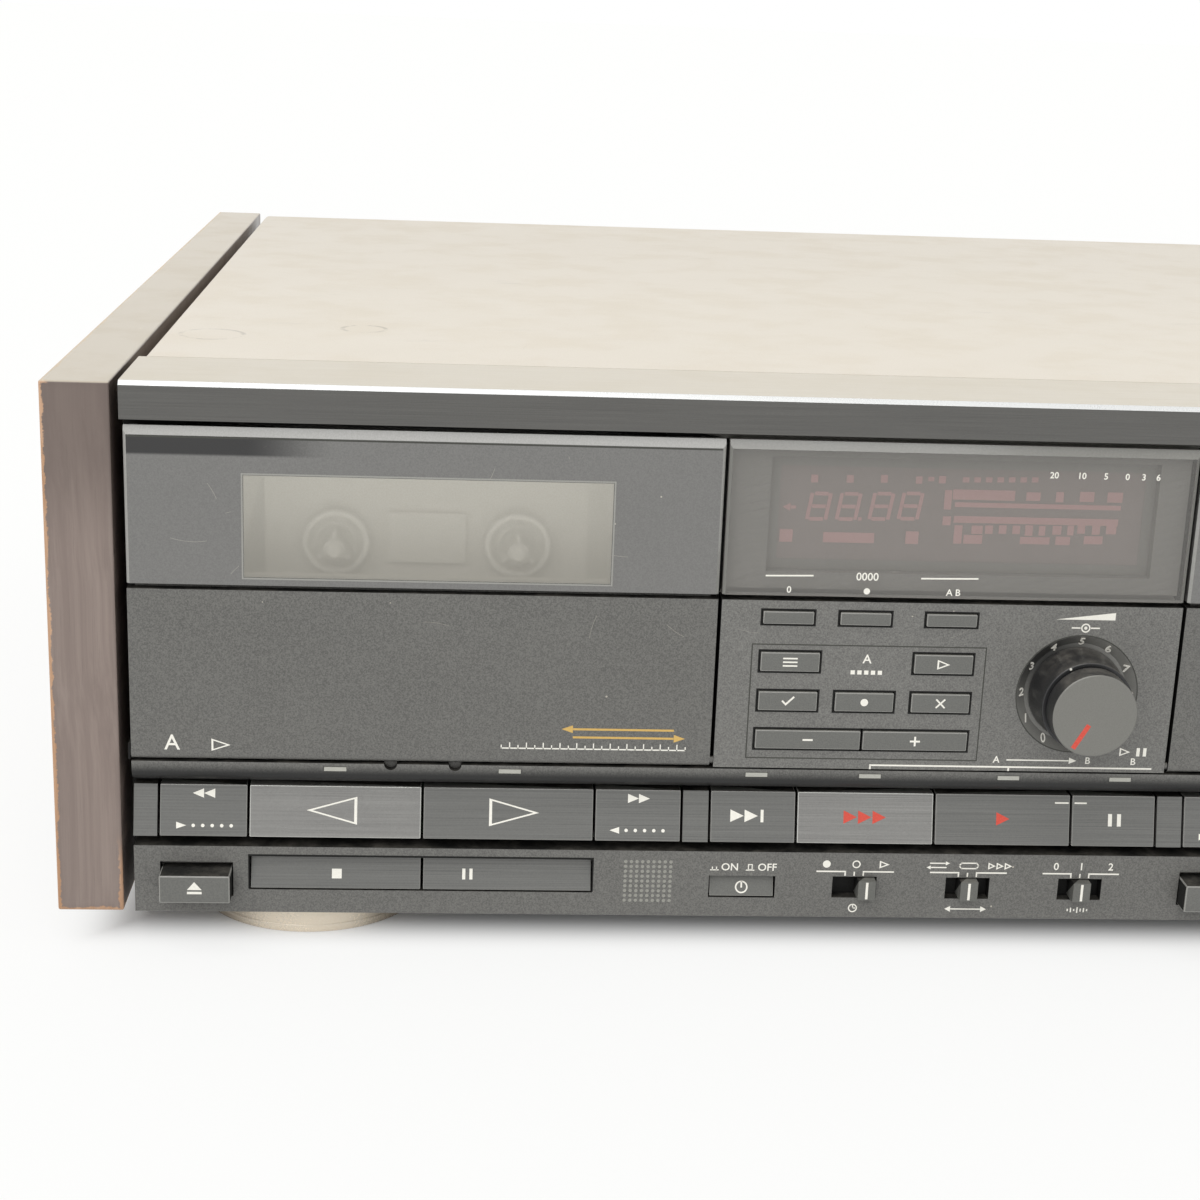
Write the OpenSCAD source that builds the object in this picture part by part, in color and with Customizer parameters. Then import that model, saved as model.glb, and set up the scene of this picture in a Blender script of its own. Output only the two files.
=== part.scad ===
// Double auto-reverse cassette deck with wooden side panels.
// Inside place() the axes are those of the front: u runs right from the left end of the trim bar,
// d runs back from the front face and v runs up from the lower edge of the front.

/* [Columns] */
// Step of the doors behind the ends of the trim bar
edge = 0.8; // [0.7:0.1:1.5]
// Width of each cassette door
door_w = 134.3; // [128:0.1:150]
// Width of the centre control column
centre_w = 108.2; // [104:0.1:130]
// Width of the end column with the record key
side_w = 48.9; // [36:0.1:80]
// Gap between neighbouring columns
col_gap = 0.9; // [0.6:0.1:1.4]

/* [Heights] */
// Height of the lower band
band_h = 16.7; // [16.2:0.1:24]
// Open gap between the lower band and the key faces
key_gap = 2.4; // [1.5:0.1:4]
// Height of the key faces
key_h = 11.9; // [9:0.1:16]
// Gap between the keys and the lip above them
lip_gap = 1; // [0.7:0.1:2]
// Height of the rounded lip under the doors
lip_h = 5.8; // [5:0.1:9]
// Gap between the lip and the doors
door_gap = 0.4; // [0.3:0.1:1]
// Height of the lower panel of each door
fascia_h = 41.1; // [39:0.1:50]
// Groove between the lower panel and the lens
split_gap = 1.2; // [0.8:0.1:2]
// Height of the lenses
lens_h = 36.2; // [33:0.1:44]
// Groove under the trim bar
top_gap = 1.3; // [1:0.1:2]
// Height of the face of the trim bar
trim_h = 8.7; // [6:0.1:14]

/* [Depths] */
// Thickness of the outer skin of the front
skin = 3; // [2.6:0.1:4]
// Thickness of the lenses
lens_t = 2.5; // [2:0.1:2.8]
// Space between the outer skin and the inner plate of the front
plate_space = 3; // [2.8:0.1:5]
// Thickness of the inner plate of the front
plate_t = 3; // [2:0.1:4]
// Depth of the front and of the top flange of the trim bar
front_depth = 31; // [27:0.5:45]
// Depth from the front face to the outside of the rear wall
body_depth = 332; // [260:1:400]
// Thickness of the sheet steel
sheet = 1; // [0.8:0.1:1.6]
// Wall of the moulded front
wall = 1.8; // [1.4:0.1:2.4]

/* [Casing] */
// Step of the top cover behind the ends of the trim bar
cover_inset = 1; // [0.8:0.1:6]
// Bend radius of the top cover
cover_bend = 1.6; // [1.2:0.1:3]
// Height of the lower edge of the top cover
cover_low = 3; // [2:0.5:10]
// Thickness of the metal of the trim bar
trim_t = 2; // [1.5:0.1:3]
// Chamfer on the top front edge of the trim bar
trim_cham = 1; // [0.4:0.1:1.4]
// Thickness of the wooden side panels
wood_t = 15.3; // [10:0.1:25]
// Gap between the wooden panels and the front
wood_gap = 1.9; // [0.5:0.1:5]
// Depth of the wooden side panels
wood_depth = 346; // [300:1:420]
// Height that the top edge of the wood stays under the top
wood_low = 0.4; // [0:0.1:3]

/* [Feet] */
// Diameter of the feet
foot_d = 57; // [30:1:70]
// Height of the feet
foot_h = 9.5; // [6:0.1:20]
// Distance of the feet from the ends of the front
foot_u = 40; // [36:1:90]
// Distance of the feet from the front face and from the rear wall
foot_in = 36; // [36:1:80]

/* [Keys] */
// Width of the narrow transport keys
narrow_w = 20.8; // [14:0.1:26]
// Width of the fillers beside the transport keys
key_fill = 5.75; // [4:0.05:10]
// Set-back of the upper edge of the transport keys
key_slope = 3; // [1:0.1:4]
// Clearance at each side of a key
key_clear = 0.3; // [0.2:0.05:0.45]
// Thickness of the retaining flange of a key
flange_t = 1.2; // [0.8:0.1:1.8]
// Overlap of a retaining flange behind its opening
flange_lap = 0.8; // [0.6:0.1:1.2]
// Side of the square key stems
stem_w = 3; // [2:0.1:4]
// Free way between the key stems and the board
key_free = 1.6; // [1.4:0.1:2]
// Free way between the eject stem and the board
eject_free = 3.6; // [3.3:0.1:4.5]
// Height that the small keys stand proud
small_proud = 0.6; // [0.3:0.1:1.5]
// Distance that the eject key stands proud
eject_proud = 5; // [3:0.1:8]

/* [Cassette well] */
// Width of a cassette
cassette_w = 100.4; // [98:0.1:104]
// Thickness of a cassette
cassette_t = 12; // [11:0.1:13]
// Clearance round the cassette in its holder
cassette_slack = 0.6; // [0.4:0.1:1]
// Wall of the cassette holder
holder_t = 1.4; // [1:0.1:2]
// Distance of the two reel axes
hub_pitch = 42.5; // [40:0.1:45]
// Distance of the reel axes under the top of the lens
hub_drop = 30.1; // [29:0.1:33]
// Distance of the cassette's lower edge under the reel axes
shelf_drop = 34.4; // [31:0.1:36]
// Distance of the two capstan axes
capstan_pitch = 62; // [58:0.5:66]
// Distance of the capstan axes under the reel axes
capstan_drop = 22.3; // [20:0.1:25]
// Radius of the rounded lower edge of a door, which is also its hinge height
hinge_r = 1.4; // [1.3:0.05:1.5]
// Radius of the hinge pins
pin_r = 0.9; // [0.7:0.05:1]
// Width of the window in the door frame
window_w = 83.2; // [60:0.1:90]
// Height of the window in the door frame
window_h = 23.9; // [16:0.1:27]

/* [Mechanism] */
// Thickness of the mechanism plate
mech_t = 2; // [1.5:0.1:3]
// Radius of the reel tables
reel_r = 7.9; // [6:0.1:10]
// Radius of the spindles
spindle_r = 2.6; // [2:0.1:3]
// Radius of the capstans
capstan_r = 1.1; // [0.9:0.05:1.5]
// Radius of the flywheels
flywheel_r = 21; // [15:0.5:27]
// Thickness of the flywheels
flywheel_t = 8; // [5:0.5:10]
// Radius of the motors
motor_r = 15; // [10:0.5:17]
// Length of the motors
motor_l = 24; // [15:0.5:40]

/* [Level control] */
// Radius of the front knob
knob_r = 9.9; // [8:0.1:12]
// Radius of the rear ring at the panel
ring_r = 11.3; // [10:0.1:13]
// Reach of the front knob before the front face
knob_reach = 15.5; // [12:0.1:20]
// Height of the rear ring
ring_h = 9.2; // [6:0.1:10]
// Radius of the shaft of the front knob
shaft_r = 2; // [1.5:0.1:2.5]
// Radius of the sleeve of the rear ring
sleeve_r = 6; // [5.5:0.1:7]
// Wall of the sleeve of the rear ring
sleeve_wall = 1.4; // [1:0.1:2]
// Radius of the dial recess
dial_r = 14.3; // [13.5:0.1:16]

/* [Sockets] */
// Outer radius of the rear sockets
phono_r = 4.15; // [4:0.05:4.5]
// Length of the rear sockets behind their plate
phono_l = 9; // [7:0.5:11]
// Distance between the rear sockets
phono_pitch = 18; // [14:0.5:25]
// Radius of the headphone socket's bore
phones_r = 3.2; // [3.175:0.005:3.3]
// Radius of the cord opening in the gland
cord_r = 3.4; // [2.5:0.1:4.5]
// Radius of the screw heads
screw_r = 2.9; // [2:0.1:4]

/* [Hidden] */
$fn = 48;
run = 0.06;
tiny = 0.1;
key_back = 1;
channel_up = 1.2;
well_low = 5;

// Columns from left to right
u_a = edge;
u_c = u_a + door_w + col_gap;
u_b = u_c + centre_w + col_gap;
u_s = u_b + door_w + col_gap;
front_w = u_s + side_w + edge;
b_shift = u_b - u_a;

// Heights from the bottom up
v_key0 = band_h + key_gap;
v_key1 = v_key0 + key_h;
v_lip0 = v_key1 + lip_gap;
v_lip1 = v_lip0 + lip_h;
v_door = v_lip1 + door_gap;
v_split = v_door + fascia_h;
v_lens0 = v_split + split_gap;
v_lens1 = v_lens0 + lens_h;
v_trim = v_lens1 + top_gap;
v_top = v_trim + trim_h;
v_hub = v_lens1 - hub_drop;
v_shelf = v_hub - shelf_drop;
v_cap = v_hub - capstan_drop;
v_led = v_lip1 - 1.4;

// Depths from the front back
plate_d = skin + plate_space;
plate_e = plate_d + plate_t;
frame_t = 2.5;
pocket_d = lens_t + frame_t;
pocket_e = pocket_d + cassette_t + cassette_slack;
holder_e = pocket_e + holder_t;
mech_d = holder_e + 1;
mech_e = mech_d + mech_t;
board_t = 1.6;
board_d = plate_e + 7;
fly_d = mech_e + 8;
fly_e = fly_d + flywheel_t;
thrust_d = fly_e + 6;
thrust_t = 1.5;
pulley_r = 3.5;
belt_t = 0.8;
belt_gap = 0.35;
wall_d = body_depth - sheet;
front_y = (knob_reach - wood_depth) / 2;

// Cassette well
holder_in = cassette_w / 2 + cassette_slack;
holder_out = holder_in + holder_t;
well_half = holder_out + 2;
mech_in = 2.5;
boss_u = 6.2;
boss_v = 8;
boss_r = 3;
door_mid = door_w / 2;
pin_bite = 1.2;
ear_gap = 0.2;
hinge_v = v_door + hinge_r;

// Control field of the centre column, from its left end and from the door line
small_w = 14.4;
small_h = 5.2;
count_w = 12.4;
count_h = 3.6;
pair_w = 50.9;
count_u = [15.6, 33.6, 53.8];
prog_u = [16.6, 34.65, 52.7];
pair_mid = 34.65;
row_top = 26.4;
row_mid = 16.8;
row_low = 7.3;
count_drop = 4;
dial_u = 85.1;
dial_v = 19.5;
dial_deep = 1.6;
dial_floor = dial_r - 2.1;
ring_foot = dial_deep - 0.4;

// Lower band, from the left end of each column
eject_u = 6;
eject_w = 17;
eject_v = 4;
eject_h = 8.7;
eject_key_h = 6.8;
pair_u = 26.7;
stop_w = 81.1;
stop_v = 5.8;
stop_h = 8.6;
stop_slope = 2.2;
power_u = 0.5;
power_w = 16;
power_v = 4.9;
power_h = 5.6;
power_slope = 1.4;
slide_first = 35.7;
slide_pitch = 27.55;
slide_w = 10.7;
slide_v = 5.1;
slide_h = 5.5;
slide_knob = 4.2;
slide_proud = 2.2;
slide_way = 3;
phones_v = 8.3;
phones_ring = 6.2;
phones_l = 13;

// Rear wall and inside
phono_u = 62;
phono_v = 62;
phono_wall = 1.8;
gland_u = 60;
gland_v = 28;
gland_r = 5;
screw_h = 1.6;
shank_r = 1.5;
shank_l = 4;
flange_v = 14;
main_u = 40;
main_w = 260;
main_d = 95;
main_rear = 14;
main_v = 8;
post_in = 8;
post_r = 3;
can_pitch = 30;
can_row = 55;
can_r = 5;
can_step = 1;
can_h = 16;
chip_row = 95;
chip_w = 25;
chip_d = 9;
chip_h = 4.5;
sink_u = 190;
sink_row = 135;
sink_t = 6;
sink_l = 70;
sink_h = 30;
core_u = 96;
core_d = 110;
core_w = 52;
core_h = 50;
core_foot = 2;
core_ear = 12;
coil_in = 8;
coil_out = 9;
led_w = 5.2;
led_h = 1;
wall_gap = 0.5;
vent_n = 10;
vent_w = 4;
vent_pitch = 9;
vent_v = [40, 80];
batten_in = 24;
batten_w = 15;
pot_w = 16;
pot_gap = 3.5;
pot_deep = 4;
phono_edge = 9;
cross_w = 0.8;
roller_u = 24;
roller_w = 8;
thrust_in = 12;
post_out = 8;
post_wide = 8;
post_thick = 2.5;

// Points of a circular arc in the d-v plane
function turn(a0, a1, i, n) = a0 + (a1 - a0) * i / n;
function arc(d, v, r, a0, a1, n) = [
    for (i = [0:n]) [d + r * cos(turn(a0, a1, i, n)), v + r * sin(turn(a0, a1, i, n))]
];

// Range of a given width round a middle, and a range made longer at both ends
function about(m, w) = [m - w / 2, m + w / 2];
function grown(r, a) = [r[0] - a, r[1] + a];

// Left ends of four transport keys in a field of the given width
function key_wide(w) = (w - 2 * narrow_w) / 2;
function key_left(w) = [0, narrow_w, narrow_w + key_wide(w), narrow_w + 2 * key_wide(w), w];
deck_keys = door_w - 2 * key_fill;
a_keys = [for (k = key_left(deck_keys)) u_a + key_fill + k];
b_keys = [for (k = a_keys) k + b_shift];
c_keys = [for (k = key_left(centre_w)) u_c + k];
record_keys = [u_s + col_gap, u_s + side_w - key_fill];

// Middles of the lit transport keys, where the indicator bars sit
led_u = concat(
    [for (k = [a_keys, b_keys]) for (i = [1, 2]) (k[i] + k[i + 1]) / 2],
    [for (i = [0:3]) (c_keys[i] + c_keys[i + 1]) / 2],
    [(record_keys[0] + record_keys[1]) / 2]
);
slide_at = [for (i = [0:2]) u_c + slide_first + i * slide_pitch];
fillers = [
    [u_a, a_keys[0]], [a_keys[4], u_c], [c_keys[4], b_keys[0]],
    [b_keys[4], record_keys[0]], [record_keys[1], u_s + side_w]
];

module place() {
    translate([-front_w / 2, front_y, foot_h]) children();
}

// Box between two values along each axis of the front
module block(u, d, v) {
    translate([u[0], d[0], v[0]]) cube([u[1] - u[0], d[1] - d[0], v[1] - v[0]]);
}

// Outline in the d-v plane drawn out along u
module along_u(u0, u1) {
    translate([u0, 0, 0]) rotate([90, 0, 90]) linear_extrude(u1 - u0) children();
}

// Round bar along the depth
module rod(u, v, d0, d1, r) {
    translate([u, d0, v]) rotate([-90, 0, 0]) cylinder(r = r, h = d1 - d0);
}

// Round bar along u
module bar(d, v, u0, u1, r) {
    translate([u0, d, v]) rotate([0, 90, 0]) cylinder(r = r, h = u1 - u0);
}

// Front

// Openings of the keys of one deck in the lower band
module band_cuts(u0) {
    block([u0 + eject_u, u0 + eject_u + eject_w], [-1, skin + 1], [eject_v, eject_v + eject_h]);
    block([u0 + pair_u, u0 + pair_u + stop_w], [-1, skin + 1], [stop_v, stop_v + stop_h]);
}

// Rectangular opening round a middle point in the skin
module slot(u, v, w, h) {
    block([u - w / 2, u + w / 2], [-1, skin + 1], [v - h / 2, v + h / 2]);
}

module key_profile() {
    back = plate_d + key_back;
    polygon([[0, v_key0], [key_slope, v_key1], [back, v_key1], [back, v_key0]]);
}

module lip_profile() {
    r = plate_d - 1;
    round_h = lip_h - 2;
    polygon(concat(
        [[plate_d + tiny, v_lip1], [0, v_lip1]],
        [for (a = [0:10:90]) [r * (1 - cos(a)), v_lip0 + round_h * (1 - sin(a))]],
        [[plate_d + tiny, v_lip0]]
    ));
}

module centre_field() {
    u1 = u_c + centre_w;
    difference() {
        union() {
            block([u_c, u1], [0, skin], [v_door, v_split]);
            block([u_c, u_c + 2], [skin - tiny, plate_d + tiny], [v_door, v_split]);
            block([u1 - 2, u1], [skin - tiny, plate_d + tiny], [v_door, v_split]);
            block([u_c, u1], [skin - tiny, plate_d + tiny], [v_split - 1.5, v_split]);
            block([u_c, u1], [skin - tiny, plate_d + tiny], [v_door, v_door + 1.5]);
        }
        for (u = count_u) slot(u_c + u, v_split - count_drop, count_w, count_h);
        for (u = prog_u) slot(u_c + u, v_door + row_mid, small_w, small_h);
        for (i = [0, 2]) slot(u_c + prog_u[i], v_door + row_top, small_w, small_h);
        slot(u_c + pair_mid, v_door + row_low, pair_w, small_h);
        dial_dish();
        rod(u_c + dial_u, v_door + dial_v, -1, skin + 1, sleeve_r + run);
    }
}

// Conical dish round the level knob, open to the front
module dial_dish() {
    flare = (dial_r - dial_floor) / dial_deep;
    translate([u_c + dial_u, -1, v_door + dial_v]) rotate([-90, 0, 0])
        cylinder(r1 = dial_r + flare, r2 = dial_floor, h = dial_deep + 1);
}

// Raised field of the end column
module end_field(v0, v1) {
    block([u_s, u_s + side_w], [0, skin], [v0, v1]);
    block([u_s + 2, u_s + side_w - 2], [skin - tiny, plate_d + tiny], [v0 + 2, v1 - 2]);
}

module lower_band() {
    difference() {
        union() {
            block([edge, front_w - edge], [0, skin], [0, band_h]);
            block([edge, front_w - edge], [skin - tiny, plate_e], [band_h - wall, band_h]);
            block([edge, front_w - edge], [skin - tiny, front_depth], [0, wall]);
        }
        band_cuts(u_a);
        band_cuts(u_b);
        block([u_c + power_u, u_c + power_u + power_w], [-1, skin + 1], [power_v, power_v + power_h]);
        for (u = slide_at) slot(u, slide_v + slide_h / 2, slide_w, slide_h);
        rod(u_s + side_w / 2, phones_v, -1, skin + 1, phones_ring - 1);
    }
}

// Inner plate with both cassette wells, the display opening and the passages of the control field
module inner_plate() {
    difference() {
        block([tiny, front_w - tiny], [plate_d, plate_e], [v_lip0 + channel_up, v_trim]);
        for (u0 = [u_a, u_b])
            block(about(u0 + door_mid, 2 * well_half), [plate_d - 1, plate_e + 1], [v_door + well_low, v_trim + 1]);
        block([u_c + 4, u_c + centre_w - 4], [plate_d - 1, plate_e + 1], [v_door + 3, v_split - 2]);
    }
    for (u0 = [u_a, u_b]) for (u = [boss_u, door_w - boss_u]) for (v = [v_door + boss_v, v_lens1 - boss_v])
        rod(u0 + u, v, plate_e - tiny, mech_d, boss_r);
    for (u = [u_c + 2, u_c + centre_w - 2 - wall])
        block([u, u + wall], [plate_e - tiny, board_d], [v_door + 4, v_lens1 - 4]);
}

module side_walls() {
    for (u = [tiny, front_w - tiny - wall])
        block([u, u + wall], [plate_d, front_depth], [0, v_trim]);
    for (u = [edge, front_w - edge - wall])
        block([u, u + wall], [skin - tiny, front_depth], [0, band_h]);
    block([tiny, edge - ear_gap], [tiny, plate_d + tiny], [v_door, hinge_v + 2.4]);
}

module front_panel() {
    color("#3a3a39") place() difference() {
        union() {
            inner_plate();
            side_walls();
            lower_band();
            centre_field();
            end_field(v_door, v_split);
            end_field(v_lens0, v_lens1);
            along_u(edge, front_w - edge) lip_profile();
            block([u_c + 1, u_c + centre_w - 1], [lens_t, plate_d + tiny], [v_lens0 + 1, v_lens1 - 1]);
            for (f = fillers) {
                left = f[0] + (f[0] > u_a ? key_clear : 0);
                right = f[1] - (f[1] < u_s ? key_clear : 0);
                along_u(left, right) key_profile();
                block([f[0] + 1, f[1] - 1], [plate_d, plate_e], [band_h - wall, v_lip0 + 2]);
            }
        }
        block([u_c + 10, u_c + centre_w - 8], [-1, plate_e + 1], [v_lens0 + 5, v_lens1 - 4]);
        for (u = led_u)
            block(about(u, led_w + 2 * tiny), [-1, plate_e + 1], about(v_led, led_h + 2 * tiny));
        for (u0 = [u_a, u_b]) for (s = [-1, 1]) rod(u0 + door_mid + s * 7.5, v_lip1, -1, 2, 1.5);
        bar(hinge_r, hinge_v, -1, edge, pin_r + run);
        bar(hinge_r, hinge_v, u_c - 1, u_c + pin_bite + 0.2, pin_r + run);
        bar(hinge_r, hinge_v, u_c + centre_w - pin_bite - 0.2, u_b, pin_r + run);
        bar(hinge_r, hinge_v, u_s - col_gap / 2, u_s + pin_bite + 0.2, pin_r + run);
    }
}

module trim_bar() {
    color("#343433") place() along_u(0, front_w) polygon([
        [0, v_trim], [0, v_top - trim_cham], [trim_cham, v_top], [front_depth, v_top],
        [front_depth, v_top - trim_t], [trim_t + 1, v_top - trim_t], [trim_t + 1, v_trim]
    ]);
}

module display_window() {
    color("#2b2b2a") place() lens(u_c, centre_w);
}

// Lens with a broad bevel along its top and narrow ones at its ends
module lens(u0, w) {
    bevel = 2;
    side = 0.8;
    difference() {
        along_u(u0, u0 + w) polygon([
            [0, v_lens0], [lens_t, v_lens0], [lens_t, v_lens1], [1.2, v_lens1], [0, v_lens1 - bevel]
        ]);
        for (e = [0, 1]) translate([u0 + e * w, 0, v_lens0 - 1]) mirror([e, 0, 0])
            linear_extrude(lens_h + 2) polygon([[-1, -1], [side + 0.4, -0.4], [-0.4, side]]);
    }
}

// Casing

module top_cover() {
    u0 = cover_inset;
    u1 = front_w - cover_inset;
    function shell(g, r) = concat(
        [[u0 + g, cover_low]],
        arc(u0 + g + r, v_top - g - r, r, 180, 90, 6),
        arc(u1 - g - r, v_top - g - r, r, 90, 0, 6),
        [[u1 - g, cover_low]]
    );
    outer = shell(0, cover_bend);
    inner = shell(sheet, cover_bend - sheet + 0.2);
    color("#8f8b83") place() translate([0, body_depth + 1, 0]) rotate([90, 0, 0])
        linear_extrude(body_depth + 1 - front_depth - 0.2)
        polygon(concat(outer, [for (i = [len(inner) - 1:-1:0]) inner[i]]));
}

module rear_positions() {
    for (i = [0, 1]) for (j = [0, 1])
        translate([phono_u + i * phono_pitch, 0, phono_v + j * phono_pitch]) children();
}

rear_screws = [
    [16, 12], [front_w - 16, 12], [16, v_top - 12], [front_w - 16, v_top - 12], [front_w / 2, v_top - 12],
    [phono_u - phono_pitch, phono_v + phono_pitch / 2], [phono_u + 2 * phono_pitch, phono_v + phono_pitch / 2]
];
floor_rows = [front_depth + 12, body_depth / 2, body_depth - 20];
floor_screws = [for (u = about(front_w / 2, 120)) for (d = floor_rows) [u, d]];

module chassis() {
    u0 = cover_inset + sheet + tiny;
    u1 = front_w - u0;
    color("#6c6a66") place() difference() {
        union() {
            block([u0, u1], [front_depth, body_depth], [0, sheet]);
            block([u0, u0 + sheet], [front_depth + 1, body_depth], [0, flange_v]);
            block([u1 - sheet, u1], [front_depth + 1, body_depth], [0, flange_v]);
            block([u0, u1], [wall_d, body_depth], [0, v_top - sheet - wall_gap]);
        }
        rear_positions() rod(0, 0, wall_d - 1, body_depth + 1, phono_r + 0.5);
        rod(front_w - gland_u, gland_v, wall_d - 1, body_depth + 1, gland_r + tiny);
        for (s = rear_screws) rod(s[0], s[1], wall_d - 1, body_depth + 1, shank_r + tiny);
        for (s = floor_screws) translate([s[0], s[1], -1]) cylinder(r = shank_r + tiny, h = sheet + 2);
        for (i = [0:vent_n - 1]) {
            vent_m = front_w / 2 + (i - (vent_n - 1) / 2) * vent_pitch;
            block(about(vent_m, vent_w), [wall_d - 1, body_depth + 1], vent_v);
        }
    }
}

module side_panels() {
    u_in = wood_gap;
    color("#6b5548") place() for (s = [0, 1]) translate([s * front_w, 0, 0]) mirror([s, 0, 0]) {
        block([-u_in - wood_t, -u_in], [0, wood_depth], [0, v_top - wood_low]);
        for (v = [batten_in, v_top - batten_in - batten_w])
            block([-u_in - tiny, cover_inset], [front_depth + batten_in, body_depth - batten_in], [v, v + batten_w]);
    }
}

module feet() {
    r = foot_d / 2;
    color("#cebea9") place() for (u = [foot_u, front_w - foot_u]) for (d = [foot_in, body_depth - foot_in])
        translate([u, d, -foot_h]) rotate_extrude($fn = 96) polygon([
            [0, 0], [r - 3.6, 0], [r - 3.2, 0.7], [r - 1.8, 0.8], [r - 1.1, 1.2], [r - 0.6, 2],
            [r - 0.1, foot_h - 1.6], [r, foot_h - 0.8], [r, foot_h], [0, foot_h]
        ]);
}

// Inside

module control_board() {
    u1 = u_c + centre_w;
    color("#4a5a48") place() {
        block([8, front_w - 8], [board_d, board_d + board_t], [3, v_lip1 + 1]);
        block([u_c + 2, u1 - 2], [board_d, board_d + board_t], [v_lip0 + 1, v_lens1 - 2]);
        block([u_c + 12, u1 - 10], [lens_t + 2.5, plate_e + 1], [v_lens0 + 7, v_lens1 - 6]);
        block([u_c + 16, u1 - 14], [plate_e + 1 - tiny, board_d + tiny], [v_lens0 + 9, v_lens1 - 8]);
        for (u = led_u) block(about(u, led_w), [-tiny, board_d + tiny], about(v_led, led_h));
        difference() {
            block(about(u_c + dial_u, pot_w), [skin + pot_gap, board_d + tiny], about(v_door + dial_v, pot_w));
            rod(u_c + dial_u, v_door + dial_v, skin, skin + pot_gap + pot_deep, shaft_r + run);
        }
    }
}

module main_board() {
    d1 = wall_d - main_rear;
    top = main_v + board_t - tiny;
    color("#3f6b45") place() {
        block([main_u, main_u + main_w], [main_d, d1], [main_v, main_v + board_t]);
        for (i = [0:2]) for (d = [main_d + post_in, d1 - post_in])
            translate([main_u + post_in + i * (main_w / 2 - post_in), d, sheet])
                cylinder(r = post_r, h = main_v - sheet + tiny);
        for (i = [0:5]) translate([main_u + can_pitch * (i + 1), main_d + can_row, top])
            cylinder(r = can_r + (i % 3) * can_step, h = can_h + (i % 2) * can_r);
        for (i = [0:3])
            translate([main_u + chip_w * (2 * i + 1.6), main_d + chip_row, top]) cube([chip_w, chip_d, chip_h]);
        translate([main_u + sink_u, main_d + sink_row, top]) cube([sink_t, sink_l, sink_h]);
    }
}

module transformer() {
    u = front_w - core_u;
    d = body_depth - core_d;
    base = sheet + core_foot;
    color("#56514b") place() {
        block([u - core_ear, u + core_w + core_ear], [d + core_ear, d + core_w - core_ear], [sheet, base]);
        block([u, u + core_w], [d, d + core_w], [base - tiny, base + core_h]);
        block(
            grown([u, u + core_w], -coil_in), grown([d, d + core_w], coil_out),
            grown([base, base + core_h], -coil_in)
        );
    }
}

module sockets() {
    color("#2a2a2a") place() {
        difference() {
            union() {
                block(
                    grown([phono_u, phono_u + phono_pitch], phono_edge), [body_depth, body_depth + phono_wall],
                    grown([phono_v, phono_v + phono_pitch], phono_edge)
                );
                rear_positions() rod(0, 0, wall_d - 8, body_depth + phono_wall + phono_l, phono_r);
            }
            rear_positions() rod(0, 0, body_depth - 2, body_depth + phono_wall + phono_l + 1, 1.7);
        }
        difference() {
            union() {
                rod(front_w - gland_u, gland_v, body_depth, body_depth + 2.4, gland_r + 2);
                rod(front_w - gland_u, gland_v, wall_d - 6, body_depth + tiny, gland_r);
            }
            rod(front_w - gland_u, gland_v, wall_d - 7, body_depth + 4, cord_r);
        }
        difference() {
            union() {
                rod(u_s + side_w / 2, phones_v, -0.8, 0, phones_ring);
                rod(u_s + side_w / 2, phones_v, -tiny, board_d, phones_ring - 1 - tiny);
            }
            rod(u_s + side_w / 2, phones_v, -2, phones_l - 0.8, phones_r);
        }
    }
}

// Screw with a cross slot, its head seated at the origin and standing along +Z
module screw() {
    difference() {
        cylinder(r = screw_r, h = screw_h);
        for (a = [0, 90]) rotate([0, 0, a])
            translate([-screw_r * 0.6, -cross_w / 2, screw_h - cross_w]) cube([screw_r * 1.2, cross_w, screw_h]);
    }
    translate([0, 0, -shank_l]) cylinder(r = shank_r, h = shank_l + tiny);
}

module screws() {
    color("#9a9a98") place() {
        for (s = rear_screws) translate([s[0], body_depth, s[1]]) rotate([-90, 0, 0]) screw();
        for (s = floor_screws) translate([s[0], s[1], 0]) rotate([180, 0, 0]) screw();
    }
}

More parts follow.
